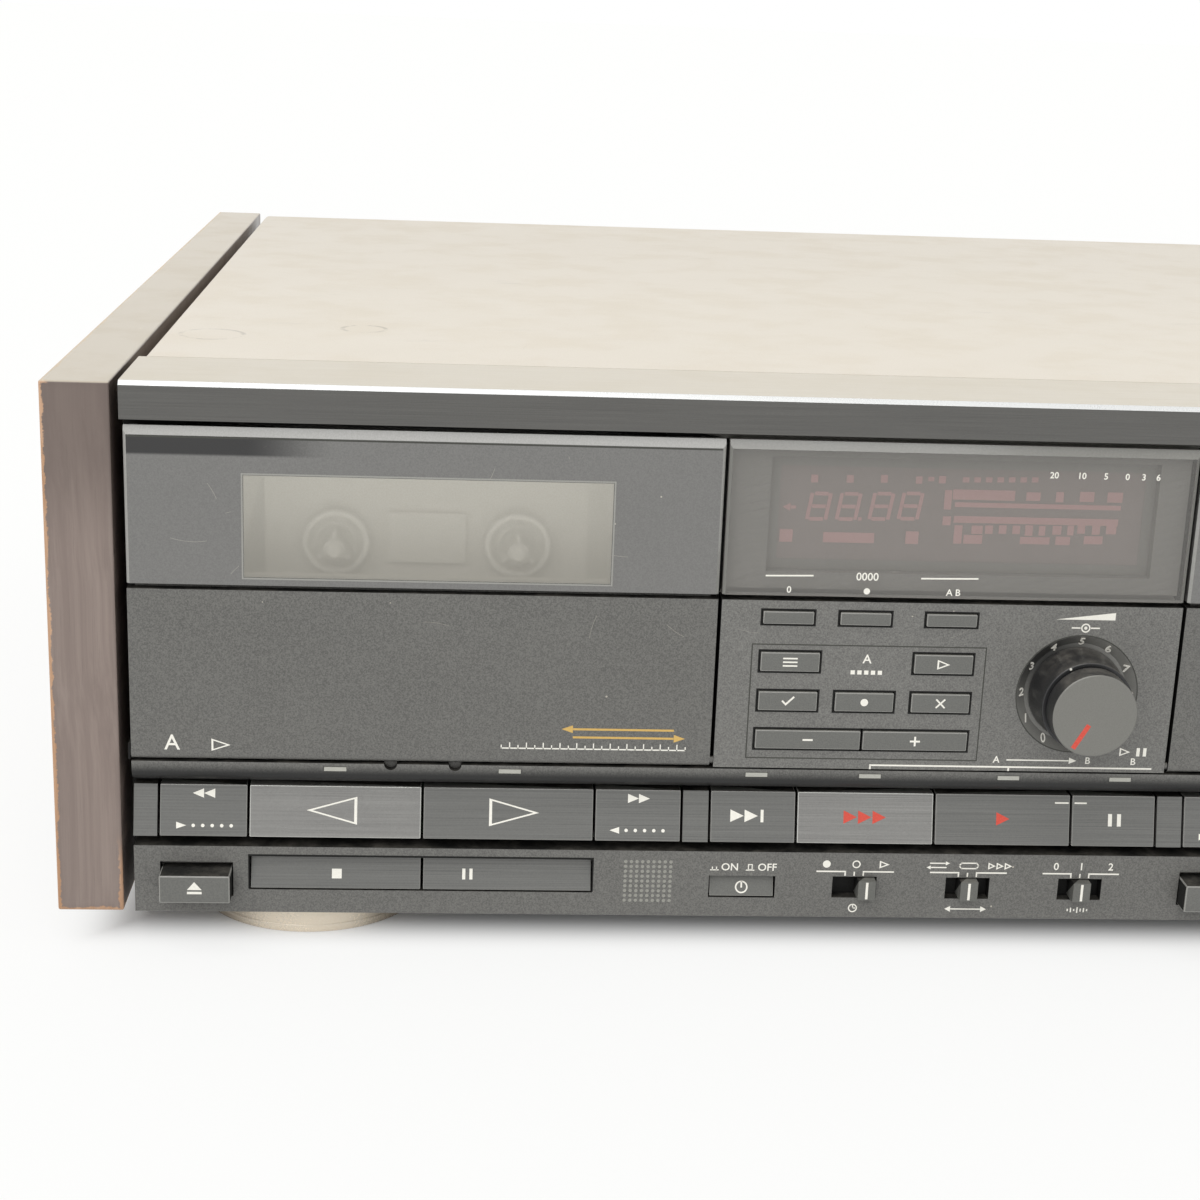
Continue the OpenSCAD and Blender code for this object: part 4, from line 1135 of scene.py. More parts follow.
    def outline(self, box: Box, grow: float, width: float) -> "Stencil":
        """Adds a line round a box that is given by its edges and made larger by some millimetres."""
        left, right, low, high = box
        return self.frame((left + right) / 2, (low + high) / 2, right - left + grow, high - low + grow, width)

    def arrow(self, x: float, y: float, w: float, h: float) -> "Stencil":
        """Adds a filled arrowhead; a negative width points it to the left."""
        corners = self.head(x, y, w, h)
        return self.shape(corners if w > 0 else corners[::-1])

    def open_arrow(self, x: float, y: float, w: float, h: float, width: float = 0.35) -> "Stencil":
        """Adds the outline of an arrowhead; a negative width points it to the left.

        Args:
            x: Middle, across.
            y: Middle, up.
            w: Its width.
            h: Its height.
            width: Width of the line.

        Returns:
            This stencil.
        """
        corners = self.head(x, y, w, h)
        middle = Vector((x - w / 6, y))
        far = max((Vector(c) - middle).length for c in corners)
        share = 1 - self.arrow_line * width / far
        inner = [tuple(middle + (Vector(c) - middle) * share) for c in corners]
        return self.band(corners, inner)

    def words(self, text: str, x: float, y: float, size: float) -> "Stencil":
        """Adds plain figures or letters round a middle point.

        Args:
            text: What is printed.
            x: Middle, across.
            y: Middle, up.
            size: Height of the letters in millimetres.

        Returns:
            This stencil.
        """
        curve = bpy.data.curves.new("figures", "FONT")
        curve.body = text
        curve.size = size / self.capital
        curve.align_x = "CENTER"
        curve.align_y = "CENTER"
        curve.resolution_u = 3
        curve.extrude = 0.5
        curve.offset = self.bold
        holder = bpy.data.objects.new("figures", curve)
        bpy.context.scene.collection.objects.link(holder)
        bpy.context.view_layer.update()
        shown = holder.evaluated_get(bpy.context.evaluated_depsgraph_get())
        made = bpy.data.meshes.new_from_object(shown)
        start = len(self.points)
        for vertex in made.vertices:
            out = self.proud if vertex.co.z > 0 else -self.sunk
            self.points.append(self.face.point(x + vertex.co.x, y + vertex.co.y, out))
        self.faces.extend([start + i for i in polygon.vertices] for polygon in made.polygons)
        bpy.data.objects.remove(holder)
        bpy.data.curves.remove(curve)
        bpy.data.meshes.remove(made)
        return self

    def print(
        self, name: str, body: str, finish: Finish, slot: Optional[str] = None
    ) -> bpy.types.Object:
        """Makes the piece and hangs it on its body; only print has no slot of the record."""
        return Builder.piece(name, Builder.mesh(name, self.points, self.faces), body, slot, finish)


def front_box(node: str, depth: float) -> Box:
    """Measures a solid on the front.

    Args:
        node: Node of the solid.
        depth: Only what lies before this depth counts.

    Returns:
        Left, right, low and high edge on the front's axes.
    """
    spots = [FRONT.read(vertex.co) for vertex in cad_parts[node].data.vertices]
    across = [p.x for p in spots if p.y < depth]
    up = [p.z for p in spots if p.y < depth]
    return min(across), max(across), min(up), max(up)


class Assembly:
    """A group of pieces: its solids are dressed first, and then it gets pieces of its own."""

    def dress(self) -> None:
        """Dresses the solids, where the group has some."""

    def build(self) -> None:
        """Adds pieces, where the group has some of its own."""


# Casing


@dataclass
class Casing(Assembly):
    """Top cover, floor and rear wall, wooden sides, feet, screws and sockets."""

    wood_round: float = 0.5
    foot_rim: float = 1.1
    feet_u: Point = (40.0, 390.0)
    feet_d: Point = (36.0, 296.0)
    skirt: Tuple[Point, ...] = (
        (26.0, 0.3), (27.3, 0.3), (27.75, 0.5), (27.95, 0.95), (28.02, 2.4), (27.6, 2.7), (26.0, 2.7),
    )
    phono: Point = (62.0, 62.0)
    phono_pitch: float = 18.0
    phono_r: float = 4.15
    phono_end: float = 120.0
    phones_from: float = 390.0
    phones_front: float = -0.3
    rear: float = 333.8

    def dress(self) -> None:
        """Gives each solid of the casing its finish."""
        CadPiece("top_cover").wear(Skin.cover).crisp()
        CadPiece("chassis").wear(Skin.zinc).crisp()
        wood = CadPiece("side_panels").wear(Skin.wood, Skin.wood_right, rule=self.wood_slot)
        wood.soften(self.wood_round, 3)
        CadPiece("feet").wear(Skin.foot, Skin.rubber, rule=self.foot_slot).soften(0.2)
        CadPiece("screws").wear(Skin.screw).soften(0.1)
        CadPiece("sockets").wear(Skin.black, Skin.contact, rule=self.socket_slot).crisp()

    def wood_slot(self, place: Vector, normal: Vector) -> int:
        """One veneer for each side."""
        return int(place.x > FRONT.middle)

    def foot_slot(self, place: Vector, normal: Vector) -> int:
        """Rubber below, metal above."""
        return int(place.z < self.foot_rim - FRONT.lift and normal.z < -0.5)

    def socket_slot(self, place: Vector, normal: Vector) -> int:
        """Plated metal on the pin sockets and in the phones socket, black plastic elsewhere."""
        pins = place.y > self.rear + 0.1 and place.x < self.phono_end
        return int(pins or (place.y < self.phones_front and place.x > self.phones_from))

    def build(self) -> None:
        """Adds the coloured rings of the sockets and the rims of the feet."""
        for i in (0, 1):
            for j, finish in ((0, Skin.ring_red), (1, Skin.ring_white)):
                self.socket_ring(i, j, finish)
                self.foot_skirt(i, j)

    def foot_skirt(self, i: int, j: int) -> None:
        """Adds the rolled lower rim of one foot's metal shell, just above the floor.

        Args:
            i: Column of the foot.
            j: Row of the foot.
        """
        name = f"foot_skirt_{i}{j}"
        middle = Vector((self.feet_u[i], self.feet_d[j], -FRONT.lift))
        mesh = Builder.lathe(name, middle, self.skirt, 96, upright=True)
        Builder.piece(name, mesh, TALL_BODY, "foot", Skin.foot)

    def socket_ring(self, i: int, j: int, finish: Finish) -> None:
        """Adds a coloured collar round one pin socket.

        Args:
            i: Column of the socket.
            j: Row of the socket.
            finish: What the collar wears.
        """
        u = self.phono[0] + i * self.phono_pitch
        v = self.phono[1] + j * self.phono_pitch
        inner, outer = self.phono_r + 0.02, self.phono_r + 1.9
        profile = [
            (inner, 0.0), (outer, 0.0), (outer, 0.9), (outer - 0.3, 1.2), (inner + 0.3, 1.2), (inner, 0.9),
        ]
        name = f"socket_collar_{i}{j}"
        mesh = Builder.lathe(name, Vector((u, self.rear, v)), profile, 40)
        Builder.piece(name, mesh, TALL_BODY, "black_plastic", finish)


@dataclass
class RearPrint(Assembly):
    """Printing and the bare plate on the rear wall."""

    wall: float = 332.0
    group: Box = (50.0, 92.0, 46.0, 98.0)
    plate: Box = (292.0, 344.0, 62.0, 88.0)
    plate_thick: float = 0.35
    ways: Tuple[Point, ...] = ((62.0, 1), (80.0, -1))

    def build(self) -> None:
        """Prints the frame of the sockets with signs for in and out, and fixes the plate."""
        ink = Stencil(Face(d=self.wall, back=True)).outline(self.group, 0.0, 0.5)
        high = self.group[3]
        for u, way in self.ways:
            ink.line((u, high + 3.0), (u, high + 7.0), 0.7)
            tip = high + (7.6 if way > 0 else 2.4)
            ink.shape([(u - 1.6, tip - way * 2.4), (u + 1.6, tip - way * 2.4), (u, tip)])
        ink.line((360.0, 40.0), (380.0, 40.0), 0.5).ring(370.0, 28.0, 9.0, 0.5, 48)
        for k in range(3):
            ink.line((364.0 + 4.0 * k, 43.0), (366.6 + 4.0 * k, 43.0 + 1.4 * (k % 2)), 0.5)
        ink.print("rear_marks", TALL_BODY, Skin.ink)
        left, right, low, high = self.plate
        plate = Stencil(Face(d=self.wall, back=True), self.plate_thick)
        plate.bar((left + right) / 2, (low + high) / 2, right - left, high - low)
        plate.print("rear_plate", TALL_BODY, Skin.plate)
        rim = Stencil(Face(d=self.wall + self.plate_thick, back=True), 0.05).outline(self.plate, -3.0, 0.4)
        for k in range(4):
            rim.line((left + 5, low + 6 + 4.6 * k), (right - 5 - 7 * (k % 2), low + 6 + 4.6 * k), 0.3)
        rim.print("rear_plate_lines", TALL_BODY, Skin.ink)


# Front


class PanelPart(IntEnum):
    """Slots of the front moulding."""

    FACE = 0
    INNER = 1
    FILLER = 2
    DIAL = 3
    SURROUND = 4
    LIP = 5
    CENTRE = 6


@dataclass
class Fascia(Assembly):
    """Front moulding with its lower band, lip, control field and end column, and the bar above it."""

    skin: float = 3.0
    notch: float = 1.7
    lip_h: float = 5.8
    dial: Point = (221.1, 57.7)
    dial_r: float = 14.4
    dial_deep: float = 1.65
    surround: float = 9.5
    trim_low: float = 118.0
    dots: Box = (116.4, 127.2, 3.9, 13.9)
    dot_rows: int = 9
    dot_r: float = 0.42
    filler_back: float = 4.0
    skin_near: float = 0.02

    def dress(self) -> None:
        """Gives the moulding and the bar their finishes."""
        slots = (Skin.panel, Skin.inner, Skin.key, Skin.dial, Skin.surround, Skin.lip, Skin.centre)
        CadPiece("front_panel").wear(*slots, rule=self.panel_slot).crisp()
        slots = (Skin.trim, Skin.polished, Skin.trim_top, Skin.inner)
        CadPiece("trim_bar").wear(*slots, rule=self.trim_slot).soften(0.1)

    def panel_slot(self, place: Vector, normal: Vector) -> int:
        """Panel moulding in front, key metal on the fillers of the key row, painted shade in openings and
        behind.

        Args:
            place: Middle of a face on the front's axes.
            normal: Its normal.

        Returns:
            Slot of the finish.
        """
        if COLS.key_low - 0.1 < place.z < COLS.key_high + 0.1 and place.y < self.filler_back:
            return PanelPart.FILLER
        in_dish = math.hypot(place.x - self.dial[0], place.z - self.dial[1]) < self.dial_r
        if in_dish and self.skin_near < place.y < self.dial_deep:
            return PanelPart.DIAL
        in_centre = COLS.centre < place.x < COLS.deck_b
        # Faces behind the display window get the lighter surround tone: painted light.
        if in_centre and place.z > COLS.split and self.notch < place.y < self.surround:
            return PanelPart.SURROUND
        in_lip = COLS.lip - self.lip_h - 0.1 < place.z < COLS.lip + 0.02 and place.y < self.skin
        if in_lip and normal.z < 0.3 and abs(normal.x) < 0.5:
            return PanelPart.LIP
        # Walls of openings, faces behind the skin, the face beside deck A and the strip above the lenses get
        # painted shade.
        opening = abs(normal.y) < 0.5 and place.y > self.skin_near
        beside = place.x < COLS.deck_a and place.z > COLS.lip
        if opening or beside or place.y > self.notch or place.z > COLS.lens_high + 0.1:
            return PanelPart.INNER
        return PanelPart.CENTRE if in_centre and place.z > COLS.lip else PanelPart.FACE

    def trim_slot(self, place: Vector, normal: Vector) -> int:
        """Polished chamfer with painted highlight, brushed top with painted reflection, darker brushed face,
        and painted shade on the lower and rear faces.
        """
        shaded_faces = place.z < self.trim_low + 0.05 or (place.y > 0.8 and normal.y < -0.5)
        return 3 if shaded_faces else 1 if normal.y < -0.3 and normal.z > 0.3 else 2 if normal.z > 0.9 else 0

    def build(self) -> None:
        """Adds the plain dot field of the lower band."""
        left, right, low, high = self.dots
        field_of = Stencil(Face(), 0.02)
        step = (right - left) / (self.dot_rows - 1)
        for i in range(self.dot_rows):
            for j in range(self.dot_rows):
                up = low + j * (high - low) / (self.dot_rows - 1)
                field_of.disc(left + i * step, up, self.dot_r, 12)
        field_of.print("band_dots", TALL_BODY, Skin.dots)


@dataclass
class CassetteDoor(Assembly):
    """Door of one deck with its smoked lens, clear pane and printing."""

    deck: str
    left: float
    letter: str
    bevel: float = 2.0
    bevel_back: float = 1.2
    side: float = 0.667
    side_back: float = 0.5
    thick: float = 2.5
    holder_front: float = 3.05
    window: Box = (26.2, 109.4, 82.3, 106.1)
    letter_at: Point = (9.4, 42.3)
    play_at: Point = (20.6, 42.0)
    turn_u: Point = (102.2, 125.3)
    turn_v: Point = (47.1, 45.1)
    scale: Point = (85.3, 128.4)
    scale_v: float = 42.2
    scale_steps: int = 22

    @property
    def body(self) -> str:
        """Body that the door's pieces ride on."""
        return "door_" + self.deck

    @property
    def shift(self) -> float:
        """Distance of this door from the left one."""
        return self.left - COLS.deck_a

    def dress(self) -> None:
        """Gives the door its finish."""
        CadPiece(self.body).wear(Skin.door, Skin.inner, Skin.holder, rule=self.door_slot).crisp()

    def door_slot(self, place: Vector, normal: Vector) -> int:
        """Panel moulding in front, painted shade on the edges and behind, pale holder behind the lens."""
        dark = place.y > self.holder_front or (place.y > 0.02 and abs(normal.y) < 0.5)
        return 2 if place.y > self.holder_front and place.z > COLS.split else int(dark)

    def build(self) -> None:
        """Builds the lens, its pane and the printing."""
        self.build_lens()
        self.build_pane()
        self.build_print()

    def hole(self) -> Box:
        """Left, right, low and high edge of the clear window."""
        u0, u1, v0, v1 = self.window
        return self.left + u0, self.left + u1, v0, v1

    def build_lens(self) -> None:
        """Builds the smoked lens round its window, with a broad bevel above and narrow ones beside."""
        u0, u1 = self.left, self.left + COLS.door_w
        v0, v1 = COLS.lens_low, COLS.lens_high
        low = v1 - self.bevel
        turn = low + self.bevel * self.side_back / self.bevel_back
        a, b, c, e = self.hole()
        s, k, q = self.side, self.side_back, self.bevel_back
        spots = [
            (u0 + s, 0, v0), (u1 - s, 0, v0), (u1 - s, 0, low), (u0 + s, 0, low),
            (u0, k, v0), (u0, k, turn), (u0, q, v1), (u1, q, v1), (u1, k, turn), (u1, k, v0),
            (u0, self.thick, v0), (u1, self.thick, v0), (u1, self.thick, v1), (u0, self.thick, v1),
            (a, 0, c), (b, 0, c), (b, 0, e), (a, 0, e),
            (a, self.thick, c), (b, self.thick, c), (b, self.thick, e), (a, self.thick, e),
        ]
        faces = [
            [0, 1, 15, 14], [1, 2, 16, 15], [2, 3, 17, 16], [3, 0, 14, 17],
            [10, 18, 19, 11], [11, 19, 20, 12], [12, 20, 21, 13], [13, 21, 18, 10],
            [14, 15, 19, 18], [15, 16, 20, 19], [16, 17, 21, 20], [17, 14, 18, 21],
            [3, 2, 8, 7, 6, 5], [0, 3, 5, 4], [1, 9, 8, 2], [4, 5, 6, 13, 10], [9, 11, 12, 7, 8],
            [6, 7, 12, 13], [4, 10, 11, 9, 1, 0],
        ]
        name = f"lens_{self.deck}_mask"
        mesh = Builder.mesh(name, [FRONT.at(*spot) for spot in spots], faces)
        # The painted dark reflection moves with each door.
        start, end = Skin.lens.run
        run = (start + self.shift, end + self.shift)
        smoked = replace(Skin.lens, name=f"lens_smoked_painted_reflection_{self.deck}", run=run)
        piece = Builder.piece(name, mesh, self.body, "smoked", smoked, Skin.bevel)
        # The bevels wear the lighter finish of painted highlight.
        for polygon in mesh.polygons:
            polygon.material_index = int(-0.95 < polygon.normal.y < -0.3)
        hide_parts(f"lens_{self.deck}")

    def build_pane(self) -> None:
        """Builds the clear pane in the lens, with a fine bevel round it."""
        a, b, c, e = self.hole()
        g, r, t = 0.015, 0.12, self.thick
        rings = [(g + r, 0.0), (g, r), (g, t - r), (g + r, t)]
        points = [
            FRONT.at(u, d, v)
            for m, d in rings
            for u, v in ((a + m, c + m), (b - m, c + m), (b - m, e - m), (a + m, e - m))
        ]
        faces = [[0, 1, 2, 3], [15, 14, 13, 12]]
        for k in range(3):
            for i in range(4):
                here, then = 4 * k + i, 4 * k + (i + 1) % 4
                faces.append([here, then, then + 4, here + 4])
        name = f"lens_{self.deck}_pane"
        mesh = Builder.mesh(name, points, faces)
        Builder.piece(name, mesh, self.body, "smoked", Skin.pane, Skin.clear, Skin.border_highlight)
        # The pane's bevel faces wear the light border: painted highlight.
        for polygon in mesh.polygons:
            ahead = -polygon.normal.y
            polygon.material_index = 0 if ahead > 0.9 else 2 if ahead > 0.5 else 1

    def build_print(self) -> None:
        """Prints the deck's letter, its play mark, the reversing mark and a fine scale below it."""
        marks = Stencil(Face(u=self.left))
        marks.words(self.letter, *self.letter_at, 3.8).open_arrow(*self.play_at, 4.4, 3.0, 0.34)
        (start, end), v = self.scale, self.scale_v
        marks.line((start, v), (end, v), 0.3)
        for k in range(self.scale_steps + 1):
            x = start + k * (end - start) / self.scale_steps
            marks.line((x, v), (x, v + (1.3 if k % 2 else 0.7)), 0.26)
        marks.print(f"door_{self.deck}_marks", self.body, Skin.cream)
        # Light frame round the window: painted highlight.
        border_highlight = Stencil(Face(), 0.02).outline(self.hole(), 0.4, 0.38)
        border_highlight.print(f"lens_{self.deck}_border", self.body, Skin.border_highlight)
        edge = Stencil(Face(), 0.02)
        edge.bar(self.left + COLS.door_w / 2, COLS.lens_high - self.bevel - 0.3, COLS.door_w - 1.6, 0.4)
        edge.print(f"lens_{self.deck}_edge_line", self.body, Skin.groove)
        turn = Stencil(Face(u=self.left))
        start, end = self.turn_u
        for y, tip, way in zip(self.turn_v, (start - 1.6, end + 1.6), (-1, 1)):
            turn.line((start, y), (end, y), 0.5).arrow(tip, y, way * 2.6, 1.9)
        turn.print(f"door_{self.deck}_reverse_mark", self.body, Skin.amber)


@dataclass
class DisplayUnit(Assembly):
    """Smoked display window, the tube behind it with its unlit segments, and the control board."""

    tube_front: float = 5.0
    parts_back: float = 15.9
    bars_v: Point = (35.5, 37.4)
    tube_low: float = 86.5
    mask_wide: float = 2.6
    digit_size: Point = (4.3, 6.4)
    digit_stroke: float = 0.85
    digit_lean: float = 0.15
    dot_row: Tuple[float, float, int] = (191.5, 2.69, 7)
    opening: Box = (146.0, 236.2, 85.5, 112.7)
    over_keys: Tuple[Point, ...] = ((145.9, 156.6), (182.0, 195.0))
    figures: Tuple[Tuple[str, float], ...] = (
        ("20", 210.6), ("10", 217.0), ("5", 222.6), ("0", 227.6), ("3", 231.4), ("6", 234.8),
    )
    digits: Tuple[Point, ...] = ((157.8, 100.6), (164.7, 100.7), (172.3, 100.9), (179.1, 101.1))
    marks: Tuple[Box, ...] = (
        (156.4, 107.1, 1.6, 1.8), (164.6, 107.2, 1.6, 1.8), (172.5, 107.4, 1.6, 1.8),
        (180.6, 107.3, 1.5, 1.7), (183.4, 107.6, 1.4, 1.0), (186.0, 107.5, 1.6, 1.7),
        (150.6, 93.5, 3.0, 3.0), (165.2, 93.3, 11.9, 2.4), (180.0, 93.6, 3.0, 3.0),
        (167.5, 97.8, 0.8, 0.8),
    )
    upper: Tuple[Box, ...] = (
        (187.7, 102.8, 1.7, 4.6), (196.0, 104.1, 14.5, 2.4), (207.6, 104.0, 3.3, 2.0),
        (213.8, 104.0, 1.8, 2.4), (220.2, 104.2, 3.4, 2.4), (226.8, 104.2, 3.6, 2.4),
        (208.9, 101.7, 39.0, 1.1),
    )
    lower: Tuple[Box, ...] = (
        (187.8, 97.8, 1.9, 2.1), (208.8, 98.2, 38.7, 1.6), (190.7, 94.6, 1.9, 4.4), (194.3, 93.5, 4.4, 2.1),
        (195.1, 95.8, 2.6, 2.0), (197.9, 95.9, 1.8, 2.0), (201.1, 96.0, 1.8, 2.0), (204.3, 96.0, 1.8, 2.0),
        (207.3, 95.9, 1.8, 2.5), (208.9, 93.5, 7.0, 1.7), (210.4, 95.9, 1.5, 2.3), (213.9, 96.1, 2.1, 2.1),
        (215.5, 93.6, 3.4, 2.0), (217.1, 96.1, 1.5, 2.3), (219.6, 96.4, 1.8, 2.0), (222.7, 93.9, 4.4, 1.9),
        (223.1, 96.3, 1.9, 2.1), (226.7, 96.4, 2.4, 2.0),
    )

    def dress(self) -> None:
        """Gives the window and the board their finishes."""
        slots = (Skin.display, Skin.display_bevel, Skin.clear, Skin.display_side, Skin.surround)
        CadPiece("display_window").wear(*slots, rule=self.window_slot).crisp(10.0)
        slots = (Skin.board, Skin.tube, Skin.light, Skin.chip)
        CadPiece("control_board").wear(*slots, rule=self.board_slot).crisp()

    def window_slot(self, place: Vector, normal: Vector) -> int:
        """Smoked front, painted highlight on the bevel above, dull ones beside, edges in the lighter surround
        tone and a clear back.
        """
        bevel = 1 if normal.z > 0.3 else 3
        return 0 if normal.y < -0.95 else bevel if normal.y < -0.3 else 2 if normal.y > 0.5 else 4

    def board_slot(self, place: Vector, normal: Vector) -> int:
        """Tube behind the window, pale bars under the keys' lip, black level control, board elsewhere."""
        part = 1 if place.z > self.tube_low else 2 if self.bars_v[0] < place.z < self.bars_v[1] else 3
        return part if place.y < self.parts_back else 0

    def build(self) -> None:
        """Adds the unlit segments of the tube and the lines on the window."""
        unlit = Stencil(Face(d=self.tube_front), 0.05)
        for x, y in self.digits:
            self.digit(unlit, x, y)
        for x, y, w, h in (*self.marks, *self.upper, *self.lower):
            unlit.bar(x, y, w, h)
        start, pitch, count = self.dot_row
        for k in range(count):
            unlit.bar(start + pitch * k, 107.6 + 0.06 * k, 1.5, 1.2)
        unlit.arrow(150.3, 100.3, -1.8, 1.9).bar(151.9, 100.3, 1.2, 0.7)
        unlit.print("display_segments", TALL_BODY, Skin.unlit)
        # The mask covers the dark gap round the tube with the lighter surround tone: painted light.
        mask = Stencil(Face(d=self.tube_front - 0.1), 0.06, 0.0)
        mask.outline(self.opening, -self.mask_wide, self.mask_wide - 0.1)
        mask.print("display_mask", TALL_BODY, Skin.surround, "board")
        lines = Stencil(Face())
        for start, end in self.over_keys:
            lines.line((start, 85.2), (end, 85.4), 0.36)
        lines.words("0000", 169.3, 85.3, 1.9)
        lines.words("0", 151.3, 81.9, 1.6).disc(169.4, 81.9, 0.75).words("A B", 189.6, 81.9, 1.6)
        for figure, u in self.figures:
            lines.words(figure, u, 110.2, 1.5)
        lines.print("display_lines", TALL_BODY, Skin.cream)

    def digit(self, unlit: Stencil, x: float, y: float) -> None:
        """Adds one figure of seven segments, leaning a little.

        Args:
            unlit: Stencil of the segments.
            x: Middle, across.
            y: Middle, up.
        """
        (w, h), t, lean = self.digit_size, self.digit_stroke, self.digit_lean
        for dy in (-h / 2, 0.0, h / 2):
            unlit.bar(x + lean * dy, y + dy * 0.94, w - 1.1, t)
        for side in (-1, 1):
            for part in (-1, 1):
                low, high = part * h * 0.06, part * h * 0.42
                mid = side * w / 2 + x
                unlit.line((mid + lean * low, y + low), (mid + lean * high, y + high), t)


@dataclass(frozen=True)
class WindMark:
    """Double arrow and dotted arrow on a winding key, by their places across."""

    key: str
    pair: Point
    tip: float
    chain: float
    way: int


@dataclass
class TransportRow(Assembly):
    """Row of tilted transport keys under the doors, with their marks."""

    shift: float = 244.3
    lean: float = 14.15
    key_back: float = 5.0
    record: Point = (381.2, 423.45)
    tie_v: float = 29.2
    dots: int = 5
    dot_pitch: float = 2.2
    winds: Tuple[WindMark, ...] = (
        WindMark("rewind", (15.7, 18.3), 11.8, 14.6, -1), WindMark("fast", (117.8, 120.4), 113.4, 116.2, 1),
    )
    plays: Tuple[Tuple[str, float, int], ...] = (("reverse", 46.8, -1), ("forward", 89.6, 1))
    names: Tuple[str, ...] = ("rewind", "reverse", "forward", "fast")
    centre_names: Tuple[str, ...] = ("search", "high", "normal", "auto")
    # Keys that wear the lighter copies of painted highlight.
    worn: Tuple[str, ...] = ("a_reverse", "c_high", "b_forward")

    def face(self) -> Face:
        """Tilted plane of the keys' faces."""
        return Face(v=COLS.key_low, lean=self.lean)

    def up(self, v: float) -> float:
        """Distance along the tilted face of a height on the front."""
        return (v - COLS.key_low) / math.cos(math.radians(self.lean))

    def dress(self) -> None:
        """Gives all keys of the row brushed faces and edges with painted highlight, lighter still on the
        listed keys.
        """
        nodes = [f"{deck}_{name}" for deck in "ab" for name in self.names]
        nodes += ["c_" + name for name in self.centre_names] + ["b_record"]
        for node in nodes:
            face = Skin.key_worn if node in self.worn else Skin.key
            edge = Skin.key_edge_worn if node in self.worn else Skin.key_edge
            CadPiece(node).wear(face, edge, Skin.inner, rule=self.key_slot).soften(0.22, 2, 1)

    def key_slot(self, place: Vector, normal: Vector) -> int:
        """Brushed face, dark behind."""
        return 2 if place.y > self.key_back else 0

    def build(self) -> None:
        """Prints the marks of every key."""
        for deck, shift in (("a", 0.0), ("b", self.shift)):
            self.deck_marks(deck, shift)
        self.centre_marks()
        dot = Stencil(self.face())
        dot.disc(sum(self.record) / 2, self.up(25.6), 1.7, 28)
        dot.print("b_record_mark", "b_record", Skin.red)

    def deck_marks(self, deck: str, s: float) -> None:
        """Prints the marks of one deck's four keys.

        Args:
            deck: Letter of the deck.
            s: Its distance from the left deck.
        """
        high, middle, low = self.up(29.0), self.up(25.4), self.up(21.6)
        for wind in self.winds:
            mark = Stencil(self.face())
            for x in wind.pair:
                mark.arrow(x + s, high, wind.way * 2.6, 2.2)
            mark.arrow(wind.tip + s, low, -wind.way * 2.3, 1.6)
            for k in range(self.dots):
                mark.disc(wind.chain + self.dot_pitch * k + s, low, 0.42, 12)
            mark.print(f"{deck}_{wind.key}_mark", f"{deck}_{wind.key}", Skin.cream)
        for key, u, way in self.plays:
            mark = Stencil(self.face()).open_arrow(u + s, middle, way * 11.8, 6.6, 0.52)
            mark.print(f"{deck}_{key}_mark", f"{deck}_{key}", Skin.cream)

    def centre_marks(self) -> None:
        """Prints the skip, copy speed and pause marks of the centre keys."""
        y = self.up(25.3)
        skip = Stencil(self.face())
        for x in (142.6, 146.0):
            skip.arrow(x, y, 3.2, 3.0)
        skip.bar(148.6, y, 0.7, 3.0)
        skip.print("c_search_mark", "c_search", Skin.cream)
        quick = Stencil(self.face())
        for x in (169.8, 173.3, 176.8):
            quick.arrow(x, y, 3.2, 3.2)
        quick.print("c_high_mark", "c_high", Skin.red)
        plain = Stencil(self.face()).arrow(206.8, y, 3.2, 3.2)
        plain.print("c_normal_mark", "c_normal", Skin.red)
        tie_y = self.up(self.tie_v)
        tie = Stencil(self.face()).line((219.6, tie_y), (222.6, tie_y), 0.38)
        tie.print("c_normal_tie", "c_normal", Skin.cream)
        pause = Stencil(self.face()).line((224.4, tie_y), (227.0, tie_y), 0.38)
        pause.bar(233.0, y, 0.95, 3.0).bar(235.2, y, 0.95, 3.0)
        pause.print("c_auto_mark", "c_auto", Skin.cream)


class KeyGroup(Assembly):
    """Keys whose faces stand in the front's skin."""

    def slot(self, place: Vector, normal: Vector) -> int:
        """Face finish in front, dark behind the skin."""
        return 2 if place.y > COLS.behind else 0


